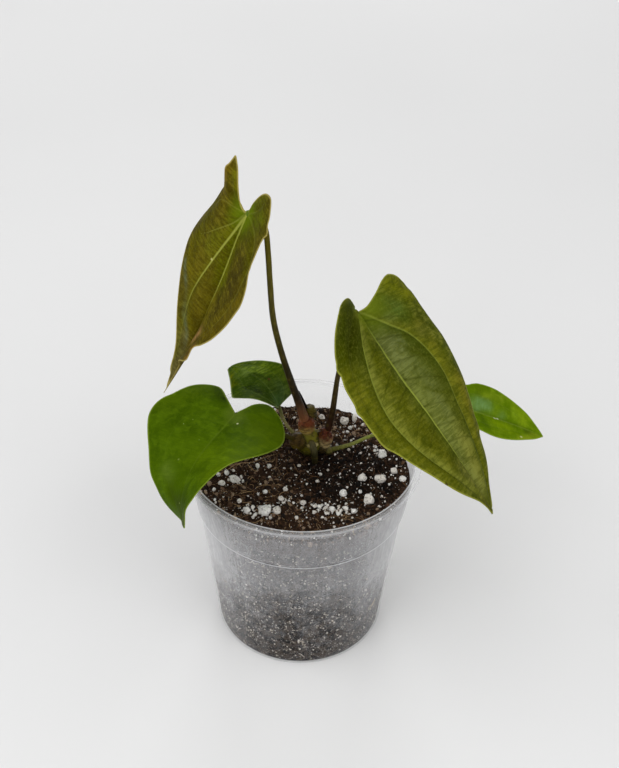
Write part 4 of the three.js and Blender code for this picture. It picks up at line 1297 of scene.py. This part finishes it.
def placeOnBlade(leaf, stations, half, side, x, y):
    # where flat places of one half lie in space, and the way their upper side faces
    steps = midribSteps
    share = np.clip(x / leaf["length"], 0, 1)
    place = share * steps
    first = np.minimum(place.astype(int), steps - 1)
    part = (place - first)[:, None]
    point, ahead, left, up = (values[first] * (1 - part) + values[first + 1] * part for values in stations)
    ahead, left, up = unit(ahead), unit(left), unit(up)
    bend = math.radians(half["lift"] or 0.001) / half["lobe"]
    angle = np.where(x < 0, -x * bend, 0)[:, None]
    point = point - ahead * np.sin(angle) / bend + up * (1 - np.cos(angle)) / bend
    up = up * np.cos(angle) + ahead * np.sin(angle)
    rise = np.radians(eased(half["rise"], share))
    curl = np.radians(between(half["curl"], share)) / half["width"]
    curl = curl + math.radians(half.get("unroll", 0)) / half["width"] * np.clip(-x / half["lobe"], 0, 1.5)
    curl = np.where(np.abs(curl) < 1e-6, 1e-6, curl)
    slope = rise + curl * y
    out = ((np.sin(slope) - np.sin(rise)) / curl)[:, None]
    over = ((np.cos(rise) - np.cos(slope)) / curl)[:, None]
    normal = up * np.cos(slope)[:, None] - left * side * np.sin(slope)[:, None]
    normal = np.where((y < 1e-6)[:, None], up, normal)
    return point + side * left * out + up * over, normal


def flatLine(path, count):
    # a smooth flat line through a few places; a place alone is a dot
    if len(path) == 1:
        return np.array([path[0]] * 2, float)
    return smoothLine([(x, y, 0) for x, y in path], count)[:, :2]


def legs(line, flat):
    # for each leg of a line: its direction, and each place's share along it and offset from it
    for a, b in zip(line, line[1:]):
        along = b - a
        t = np.clip(((flat - a) @ along) / max(along @ along, 1e-9), 0, 1)
        yield along, t, flat - a - t[:, None] * along


def distances(line, flat):
    nearest = np.full(len(flat), 999.0)
    for _, _, off in legs(line, flat):
        nearest = np.minimum(nearest, np.linalg.norm(off, axis=1))
    return nearest


def closedDistances(outline, flat):
    return distances(np.vstack([outline, outline[:1]]), flat)


def veinNearness(flat, path, startWidth, endWidth):
    # distance to a vein, in units of its own half width there
    line = flatLine(path, 36)
    nearest = np.full(len(flat), 99.0)
    for k, (_, t, off) in enumerate(legs(line, flat)):
        width = startWidth + (endWidth - startWidth) * (k + t) / (len(line) - 1)
        nearest = np.minimum(nearest, np.linalg.norm(off, axis=1) / width)
    return nearest


def sidedDistance(flat, path):
    # distance to a smooth path, counted as negative on its right
    nearest, sided = np.full(len(flat), 999.0), np.zeros(len(flat))
    for along, _, off in legs(flatLine(path, 40), flat):
        far = np.linalg.norm(off, axis=1)
        turn = along[0] * off[:, 1] - along[1] * off[:, 0]
        sided = np.where(far < nearest, far * np.where(turn < 0, -1, 1), sided)
        nearest = np.minimum(nearest, far)
    return sided


def veinPaths(leaf, which):
    paths = leaf.get("veins", {}).get(which)
    if paths:
        return paths
    return [(1.0, [(x * leaf["length"], y * leaf[which]["width"]) for x, y in defaultPrimary])]


def paintLayers(leaf, signedFlat, seed):
    # soft strokes, some of them painted sheen, painted highlights and painted shade, and then painted light
    # and painted shade on the two sides of each raised vein
    shift = np.stack([lumps(signedFlat, 7, seed), lumps(signedFlat, 7, seed + 5)], -1)
    place = signedFlat[:, :2] + 1.6 * shift
    for path, width, tint, share in leaf["strokes"]:
        yield share * np.exp(-(distances(flatLine(path, 30), place) / width) ** 2), tint
    length = leaf["length"]
    for which, side, width, tint, share in leaf.get("veinSideLightAndShade", ()):
        if which == "midrib":
            path = [(0, 0), (0.5 * length, 0), (length, 0)]
        else:
            sign = 1 if which == "left" else -1
            path = [(x, sign * y) for x, y in veinPaths(leaf, which)[0][1]]
        far = side * sidedDistance(signedFlat[:, :2], path)
        reach = width * (1 + 0.35 * lumps(signedFlat, 9, seed + 8))
        weight = share * softStep(-0.35, 0.35, far) * np.exp(-(far / reach) ** 2)
        yield weight * np.interp(signedFlat[:, 0] / length, (-0.05, 0.08, 0.7, 1), (0.3, 1, 1, 0.3)), tint


def paintBlade(leaf, signedFlat, seed):
    # the layers laid over each other: their colour, and how much they cover
    paint, cover = np.zeros((len(signedFlat), 3)), np.zeros(len(signedFlat))
    for weight, tint in paintLayers(leaf, signedFlat, seed):
        paint = paint * (1 - weight[:, None]) + np.array(colour(tint)[:3]) * weight[:, None]
        cover = cover + weight * (1 - cover)
    return paint / np.maximum(cover, 1e-4)[:, None], cover


def lateralPaths(leaf, half, random):
    # side veins that leave the midrib and bow towards the tip
    length, width, count = leaf["length"], half["width"], leaf["laterals"]
    paths = []
    for k in range(count):
        start = length * (0.06 + 0.8 * (k + 0.3 * random.uniform(-1, 1)) / count)
        reach = 0.92 * width * np.interp(start / length, (0, 0.25, 0.6, 1), (1, 0.98, 0.66, 0.12))
        lean = 0.42 + 0.12 * random.uniform(-1, 1)
        paths.append([(start, 0), (start + lean * 0.45 * reach, 0.45 * reach),
                      (start + (lean + 0.2) * 0.85 * reach, 0.85 * reach)])
    return paths


def insideOf(outline, points):
    # which points lie inside a closed outline
    odd = np.zeros(len(points), bool)
    x, y = points.T
    for (ax, ay), (bx, by) in zip(outline, np.roll(outline, -1, 0)):
        if ay != by:
            crossed = ((ay > y) != (by > y)) & (x < (bx - ax) * (y - ay) / (by - ay) + ax)
            odd ^= crossed
    return odd


def flatNet(leaf):
    # an even net of triangles over the flat blade, with the midrib as one of its lines
    spacing, length = leaf["net"], leaf["length"]
    left, right = (margin(leaf[half], int(1.9 * length / spacing)) for half in ("left", "right"))
    outline = np.vstack([left, (right * (1, -1))[-2:0:-1]])
    low, high = outline.min(0), outline.max(0)
    rows = np.arange(low[1], high[1], spacing * 0.866)
    columns = np.arange(low[0], high[0], spacing)
    x, y = np.meshgrid(columns, rows)
    x = x + (np.arange(len(rows)) % 2)[:, None] * spacing / 2
    points = np.stack([x.ravel(), y.ravel()], -1)
    points = points[insideOf(outline, points)]
    onRib = (np.abs(points[:, 1]) < 0.5 * spacing) & (points[:, 0] > -0.5 * spacing)
    points = points[~onRib]
    points = points[closedDistances(outline, points) > 0.5 * spacing]
    rib = np.arange(spacing, length - spacing / 2, spacing)
    rib = np.stack([rib, 0 * rib], -1)
    count = len(outline)
    ribIndex = [0, *range(count, count + len(rib)), len(left) - 1]
    places = [Vector(place) for place in np.vstack([outline, rib, points])]
    creases = list(zip(ribIndex, ribIndex[1:]))
    corners, _, faces, *_ = delaunay_2d_cdt(places, creases, [list(range(count))], 1, 1e-5)
    return np.array([corner[:] for corner in corners]), [list(face) for face in faces], outline


def bladeShape(leaf, seed):
    random = np.random.default_rng(seed)
    stations = midribStations(leaf)
    length = leaf["length"]
    signed, faces, outline = flatNet(leaf)
    side = np.where(np.abs(signed[:, 1]) < 1e-4, 0, np.sign(signed[:, 1]))
    flat = np.stack([signed[:, 0], np.abs(signed[:, 1]) * np.abs(side)], -1)
    edge = closedDistances(outline, signed)

    midrib = np.where(flat[:, 0] >= 0, flat[:, 1], np.hypot(flat[:, 0], flat[:, 1]))
    midrib = midrib / np.interp(flat[:, 0] / length, (0, 1), (1.05, 0.3))
    primary, lateral, shown = np.full(len(flat), 99.0), np.full(len(flat), 99.0), np.zeros(len(flat))
    for which, half, sign in (("left", leaf["left"], 1), ("right", leaf["right"], -1)):
        own = side * sign >= 0
        paths = veinPaths(leaf, which)
        for k, (strength, path) in enumerate(paths):
            near = np.full(len(flat), 99.0)
            near[own] = veinNearness(flat[own], path, 0.85 if k == 0 else 0.6, 0.25)
            shown = np.where(near < primary, strength, shown)
            primary = np.minimum(primary, near)
        for path in lateralPaths(leaf, half, random):
            near = veinNearness(flat[own], path, 0.6, 0.15)
            lateral[own] = np.minimum(lateral[own], near)

    point, normal = np.zeros((len(flat), 3)), np.zeros((len(flat), 3))
    for half, sign in ((leaf["left"], 1), (leaf["right"], -1)):
        own = side * sign >= 0
        point[own], normal[own] = placeOnBlade(leaf, stations, half, sign, flat[own, 0], flat[own, 1])
    signedFlat = np.stack([signed[:, 0], signed[:, 1], 0 * side], -1)

    ribDepth, primaryDepth, lateralDepth, puff, sway, frill = leaf["relief"]
    groove = (ribDepth * np.exp(-midrib ** 2) + primaryDepth * np.exp(-(primary / 1.3) ** 2)
              + lateralDepth * np.exp(-lateral ** 2))
    nearest = np.minimum(midrib, primary)
    inner = softStep(0, 7, edge)
    pillow = puff * (1 - np.exp(-(nearest / 6) ** 2)) * inner
    wave = sway * inner * (lumps(signedFlat, 17, seed) + 0.3 * lumps(signedFlat, 6, seed + 1))
    ripple = frill * np.exp(-edge / 5) * lumps(signedFlat, 11, seed + 2)
    middle = point + normal * (wave + ripple + pillow - groove)[:, None]
    thick = bladeThickness * (0.3 + 0.7 * softStep(0, 1.4, edge))
    ridge = 0.75 * np.exp(-(midrib / 0.9) ** 2) * np.interp(flat[:, 0] / length, (0, 1), (1, 0.15))
    ridge = ridge + 0.3 * np.exp(-primary ** 2) + 0.1 * np.exp(-lateral ** 2)
    upper = middle + normal * (thick / 2)[:, None]
    lower = middle - normal * (thick / 2 + ridge)[:, None]
    paint, cover = paintBlade(leaf, signedFlat, seed)

    total = len(flat)
    used = {(face[k - 1], c): True for face in faces for k, c in enumerate(face)}
    skin = faces + [[total + c for c in face[::-1]] for face in faces]
    rim = [[b, a, total + a, total + b] for a, b in used if (b, a) not in used]
    values = {
        "flat": np.vstack([signedFlat + (0, 0, 1), signedFlat - (0, 0, 1)]),
        "midrib": np.tile(np.minimum(midrib, 20), 2),
        "primary": np.tile(np.minimum(primary, 20), 2),
        "primaryShown": np.tile(shown, 2),
        "lateral": np.tile(np.minimum(lateral, 20), 2),
        "edge": np.tile(edge, 2),
        "paint": np.tile(paint, (2, 1)),
        "cover": np.tile(cover, 2),
    }
    return np.vstack([upper, lower]), skin + rim, values


def leafMaterial(leaf):
    look, mottle = leaf["look"], leaf["look"]["mottle"]
    deep, light, vein = look["deep"], look["light"], look["vein"]
    material, tree, shader = startMaterial(leaf["name"] + "Leaf", Specular_IOR_Level=0.004)
    flat = stored(tree, "flat", "Vector")
    ahead, _, upperSide = parts(tree, flat)
    midrib, primary, lateral = (stored(tree, name) for name in ("midrib", "primary", "lateral"))
    broad = clouds(tree, flat, 0.06, 3.0, 0.55, 0.4)
    patchy = clouds(tree, flat, 0.19, 3.0, 0.6, 0.5)
    fine = clouds(tree, flat, 0.9, 3.0, 0.6)
    cross = clouds(tree, stretched(tree, flat, (0.75, 0.11, 1.0)), 1.0, 3.0, 0.6, 0.8)
    net = cells(tree, flat, 0.42, "DISTANCE_TO_EDGE")
    tint = blend(tree, window(tree, broad, 0.36, 0.64), deep, look["mid"])
    tint = washes(tree, tint, (patchy, 0.42, 0.68, 0.0, 0.75, light),
                  (cross, 0.44, 0.62, mottle * 0.6, 0.0, deep))
    cover = times(tree, stored(tree, "cover"), window(tree, patchy, 0.3, 0.7, 0.75, 1.2))
    tint = blend(tree, cover, tint, stored(tree, "paint", "Color"))
    # mottling, the net of the finest veins, a brighter joint and a pale margin that is a painted rim
    # highlight
    tint = washes(tree, tint, (cross, 0.42, 0.56, mottle * 0.65, 0.0, deep),
                  (fine, 0.5, 0.68, 0.0, mottle * 0.35, light),
                  (patchy, 0.3, 0.48, mottle * 0.5, 0.0, deep),
                  (net, 0.02, 0.09, look["net"], 0.0, vein),
                  (farFrom(tree, flat), 2, look["heartReach"], 0.75, 0.0, look["heart"]),
                  (stored(tree, "edge"), 0.25, 0.95, look["rimHighlightShare"], 0.0, look["edge"]))
    fadeFrom, fadeTo, fadeLeft = look["fade"]
    fade = window(tree, ahead, fadeFrom * leaf["length"], fadeTo * leaf["length"], 1.0, fadeLeft)
    shown = times(tree, fade, stored(tree, "primaryShown"))
    midribShare, primaryShare, lateralShare = look["veinShares"]
    sideVein = look.get("sideVein", vein)
    for near, share, reach, strength, over in ((lateral, lateralShare, 1.5, fade, sideVein),
                                               (primary, primaryShare, 1.1, shown, vein),
                                               (midrib, midribShare, 0.9, fade, vein)):
        line = times(tree, window(tree, near, 0.25, reach, share, 0.0), strength)
        tint = blend(tree, line, tint, over)
    for x, y, radius, markTint in leaf["marks"]:
        reach = plus(tree, farFrom(tree, flat, (x, y, 1)), centred(tree, fine, radius * 0.9))
        tint = washes(tree, tint, (reach, radius * 0.5, radius * 1.15, 0.9, 0.0, markTint))
    # the underside is paler and duller
    under = window(tree, upperSide, -0.2, 0.2, 1.0, 0.0)
    tint = blend(tree, under, tint, blend(tree, 0.5, tint, look["under"]))
    feed(tree, shader.inputs["Base Color"], tint)
    rough = window(tree, patchy, 0.3, 0.7, look["rough"] - 0.05, look["rough"] + 0.08)
    feed(tree, shader.inputs["Roughness"], plus(tree, rough, times(tree, under, 0.2)))
    bump(tree, shader, plus(tree, fine, window(tree, net, 0.0, 0.12)), 0.05)
    return material


for key, leaf in leaves.items():
    corners, faces, values = bladeShape(leaf, 3 + len(leaf["name"]) + leaf["laterals"])
    makePiece(leaf["name"] + "Blade", corners, faces, leafMaterial(leaf),
              ["blade_" + key], values)
print("blades made")


# The crown and the stalks that grow from it

crownKnobs = {
    # centre, radii, how much of the top is left round, colour above, colour below
    "stem": ((3.4, 13.6, 103.0), (6.2, 5.5, 9.0), 1, (122, 118, 30), (70, 66, 10)),
    "growing_tip": ((3.3, 16.2, 118.8), (3.9, 3.3, 5.9), 0.84, (84, 74, 18), (44, 38, 6)),
    "old_leaf_scar": ((9.2, 14.5, 99.0), (4.4, 4.0, 4.2), 1, (61, 49, 18), (30, 20, 8)),
    "tall_left": ((2.0, 12.0, 114.8), (4.3, 4.2, 5.0), 1, (112, 52, 24), (202, 174, 94)),
    "tall_right": ((11.5, 12.6, 106.4), (3.7, 3.6, 6.2), 1, (88, 32, 14), (214, 190, 134)),
    "front_left": ((-2.0, 11.0, 105.2), (4.7, 4.1, 4.4), 1, (84, 64, 28), (106, 92, 18)),
    "back_left": ((-1.6, 16.2, 102.6), (2.8, 2.6, 2.8), 1, (84, 78, 26), (60, 46, 12)),
    "right_back": ((13.4, 13.0, 97.6), (2.4, 2.2, 2.2), 1, (112, 108, 50), (66, 56, 20)),
    "root_collar": ((4.9, 8.6, 104.6), (3.1, 2.1, 1.6), 1, (206, 190, 128), (96, 88, 36)),
}


def crownMaterial():
    material, tree, shader = startMaterial("knobblyStem", Roughness=0.4, Specular_IOR_Level=0.16)
    place = objectPlace(tree)
    own = stored(tree, "skin", "Vector")
    patchy = clouds(tree, place, 420, 4.0, 0.65)
    fine = clouds(tree, place, 2000, 3.0, 0.6)
    tint = washes(tree, own, (patchy, 0.46, 0.62, 0.0, 0.6, (22, 13, 5)),
                  (fine, 0.52, 0.66, 0.0, 0.4, (136, 110, 50)))
    feed(tree, shader.inputs["Base Color"], tint)
    bump(tree, shader, plus(tree, patchy, fine), 0.3)
    return material


def makeCrown():
    ballCorners, ballFaces = ball(4)
    corners, faces = [], []
    for centre, radii, roundTop, _, _ in crownKnobs.values():
        faces.append(ballFaces + len(ballCorners) * len(corners))
        corners.append(np.minimum(ballCorners, (1, 1, roundTop)) * radii + centre)
    piece = makePiece("stemCrown", np.vstack(corners), np.vstack(faces), crownMaterial(),
                      ["crown"])
    remesh = piece.modifiers.new("join", "REMESH")
    remesh.mode = "VOXEL"
    remesh.voxel_size = 0.32 * mm
    smooth = piece.modifiers.new("soften", "SMOOTH")
    smooth.iterations = 7
    applyModifiers(piece)
    mesh = piece.data
    place, normal = np.empty((2, len(mesh.vertices) * 3), np.float32)
    mesh.vertices.foreach_get("co", place)
    mesh.vertices.foreach_get("normal", normal)
    place, normal = place.reshape(-1, 3).astype(float) / mm, normal.reshape(-1, 3)
    shares, tints = [], []
    for centre, radii, _, above, below in crownKnobs.values():
        offset = (place - centre) / radii
        far = np.linalg.norm(offset, axis=1)
        shares.append(np.exp(-6 * np.maximum(far - 0.9, 0)))
        high = softStep(-0.85, 0.45, offset[:, 2] + 0.35 * lumps(place, 1.6, 4))[:, None]
        tints.append(np.array(colour(below)[:3]) * (1 - high) + np.array(colour(above)[:3]) * high)
    shares = np.array(shares) ** 2 + 1e-6
    skin = (np.array(tints) * shares[:, :, None]).sum(0) / shares.sum(0)[:, None]
    # painted shade in the folds between the knobs and down by the mix
    ordered = np.sort(shares, 0)
    foldShade = np.clip(1.6 * ordered[-2] / ordered[-1] - 0.1, 0, 1)
    skin = skin * (1 - 0.72 * foldShade[:, None]) * (0.35 + 0.65 * softStep(95.5, 102.5, place[:, 2]))[:, None]
    rings = 0.12 * np.sin(place[:, 2] * 4.2 + lumps(place, 3, 9))
    rough = rings + 0.34 * lumps(place, 2.2, 12) + 0.26 * lumps(place, 1.1, 13)
    place = place + normal * rough[:, None]
    mesh.vertices.foreach_set("co", (place * mm).astype(np.float32).ravel())
    mesh.attributes.new("skin", "FLOAT_VECTOR", "POINT").data.foreach_set(
        "vector", skin.astype(np.float32).ravel())
    mesh.shade_smooth()


makeCrown()

stalks = {
    "tall_left": {
        "points": [(-1.7, 11.9, 128), (-5.5, 11, 141.2), (-10.9, 10, 161.6), (-14.5, 9, 180.6),
                   (-15.9, 8.5, 200.6), (-16.7, 8.5, 215.9), (-18.0, 9, 228)],
        "radii": (2.5, 1.95, 1.65, 1.5, 1.42, 1.38, 1.34, 1.32, 1.45),
        "reach": 4, "wayIn": "up", "steps": 110,
        "tints": [(0.0, (160, 100, 64)), (0.07, (104, 70, 46)), (0.13, (44, 32, 12)),
                  (0.27, (46, 38, 8)), (0.4, (74, 66, 18)), (0.6, (92, 84, 24)),
                  (0.8, (102, 94, 14)), (0.95, (102, 92, 8)), (1.0, (96, 124, 20))],
    },
    "tall_right": {
        "points": [(14.6, 13.4, 121), (16.5, 11.6, 144.1), (18.6, 9, 160), (20.8, 4.5, 177),
                   (21.6, -2, 189)],
        "radii": (1.9, 1.5, 1.3, 1.2, 1.1, 1.1, 1.3),
        "reach": 4, "wayIn": "up", "steps": 90,
        "tints": [(0.0, (58, 26, 16)), (0.15, (42, 28, 12)), (0.4, (76, 66, 32)),
                  (1.0, (88, 86, 28))],
    },
    "front_left": {
        "points": [(-11.5, 5.6, 115), (-20, 0, 126), (-27, -5, 132)],
        "radii": (1.5, 1.1, 1.0, 1.0, 1.2),
        "reach": 3.5, "wayIn": "up", "steps": 50,
        "tints": [(0.0, (76, 56, 20)), (0.3, (80, 84, 34)), (1.0, (84, 100, 30))],
    },
    "back_left": {
        "points": [(-7.2, 21, 105.6), (-10.2, 25, 109)],
        "radii": (1.1, 0.85, 0.75, 0.8),
        "reach": 2.4, "wayIn": "ahead", "steps": 36,
        "tints": [(0.0, (120, 112, 60)), (0.5, (156, 148, 96)), (1.0, (98, 104, 46))],
    },
    "right_back": {
        "points": [(24.3, 13, 101.7), (31.9, 15.3, 104.2), (40, 17.2, 106.9), (52, 18.8, 113.6),
                   (64, 20, 121.5)],
        "radii": (1.25, 0.95, 0.92, 0.85, 0.86, 1.0),
        "reach": 3, "wayIn": "up", "steps": 80,
        "tints": [(0.0, (104, 100, 40)), (0.2, (140, 144, 72)),
                  (0.6, (126, 142, 56)), (1.0, (100, 124, 40))],
    },
}


def stalkMaterial(name, tints):
    material, tree, shader = startMaterial(name, Roughness=0.42, Specular_IOR_Level=0.1)
    place = objectPlace(tree)
    long = clouds(tree, stretched(tree, place, (1.0, 1.0, 0.12)), 1100, 3.0, 0.6)
    patchy = clouds(tree, place, 300, 3.0, 0.6)
    share = plus(tree, stored(tree, "share"), centred(tree, patchy, 0.08))
    tint = washes(tree, ramp(tree, share, *tints), (long, 0.45, 0.65, 0.35, 0.0, (24, 18, 8)),
                  (patchy, 0.55, 0.72, 0.0, 0.25, (130, 114, 50)))
    feed(tree, shader.inputs["Base Color"], tint)
    bump(tree, shader, long, 0.06)
    return material


def makeStalk(key, stalk):
    leaf = leaves[key]
    joint, ahead, _, up = (values[0] for values in midribStations(leaf))
    wayIn = up if stalk["wayIn"] == "up" else ahead
    end = 0.2 if stalk["wayIn"] == "up" else -0.8
    centre = np.array(crownKnobs[key][0])
    first = np.array(stalk["points"][0])
    start = centre + 0.35 * (first - centre) / np.linalg.norm(first - centre) * min(crownKnobs[key][1])
    line = smoothLine([start, *stalk["points"], joint - wayIn * stalk["reach"], joint - wayIn * end],
                      stalk["steps"])
    share = np.linspace(0, 1, stalk["steps"])
    length = np.linalg.norm(np.diff(line, axis=0), axis=1).sum()
    fromEnd = (1 - share) * length
    swell = 1 + 0.22 * np.exp(-((fromEnd - 4) / 3.2) ** 2)
    radii = between(stalk["radii"], share) * swell * (1 + 0.03 * lumps(line, 7, 2))
    corners, faces, shares = tube(line, radii, 20)
    skin = stalkMaterial(leaf["name"] + "StalkSkin", stalk["tints"])
    makePiece(leaf["name"] + "Stalk", corners, faces, skin, ["petiole_" + key], {"share": shares})


for key, stalk in stalks.items():
    makeStalk(key, stalk)


root = {
    "points": [(4.6, 9.4, 106.2), (5.2, 7.6, 105.2), (5.9, 6.4, 103.0), (6.4, 5.9, 99.5), (6.5, 5.7, 95.0)],
    "radii": (1.5, 1.7, 1.75, 1.6, 1.4), "steps": 40,
    "tints": [(0.0, (110, 100, 66)), (0.2, (98, 92, 60)), (0.5, (60, 58, 32)), (1.0, (34, 30, 16))],
}


def makeRoot():
    line = smoothLine(root["points"], root["steps"])
    radii = between(root["radii"], np.linspace(0, 1, root["steps"])) * (1 + 0.05 * lumps(line, 2.5, 4))
    corners, faces, shares = tube(line, radii, 22)
    makePiece("aerialRoot", corners, faces, stalkMaterial("rootSkin", root["tints"]),
              ["aerial_root"], {"share": shares})


sheath = {
    "base": (2.3, 14.3, 117.5), "tip": (-2.2, 13.7, 135.2), "rows": 26, "columns": 15,
    "width": 3.5, "tipWidth": 0.12, "wrap": 150, "thickness": 0.28,
    "tints": [(0.0, (44, 28, 16)), (0.5, (26, 16, 9)), (1.0, (18, 11, 7))],
}


def makeSheath():
    # a dry, curled scale that wraps the foot of the tall left stalk on its far side
    base, tip = np.array(sheath["base"]), np.array(sheath["tip"])
    axis = tip - base
    rows, columns = sheath["rows"], sheath["columns"]
    out = unit(np.cross(axis, (0, 1, 0)))
    back = unit(np.cross(out, axis))
    corners, share = [], []
    for k in range(rows):
        s = k / (rows - 1)
        width = sheath["width"] * (1 - s) ** 0.75 + sheath["tipWidth"]
        for c in range(columns):
            angle = math.radians(sheath["wrap"] * (c / (columns - 1) - 0.5))
            ragged = 0.25 * math.sin(9 * s + 5 * c) * (1 - s)
            place = base + axis * s + out * (width * math.sin(angle)) * 0.8
            corners.append(place + back * (width * (math.cos(angle) - 0.55)) * 0.7 + axis * ragged * 0.01)
            share.append(s)
    corners = np.array(corners)
    faces = gridFaces(rows, columns, closed=False).tolist()
    count = len(corners)
    inner = corners - back * sheath["thickness"]
    skin = faces + [[count + c for c in face[::-1]] for face in faces]
    edges = {(face[k - 1], c) for face in faces for k, c in enumerate(face)}
    skin += [[b, a, count + a, count + b] for a, b in edges if (b, a) not in edges]
    makePiece("drySheath", np.vstack([corners, inner]), skin,
              stalkMaterial("drySheathSkin", sheath["tints"]), ["dry_sheath"],
              {"share": np.tile(share, 2)})


makeRoot()
makeSheath()
print("crown and stalks made")
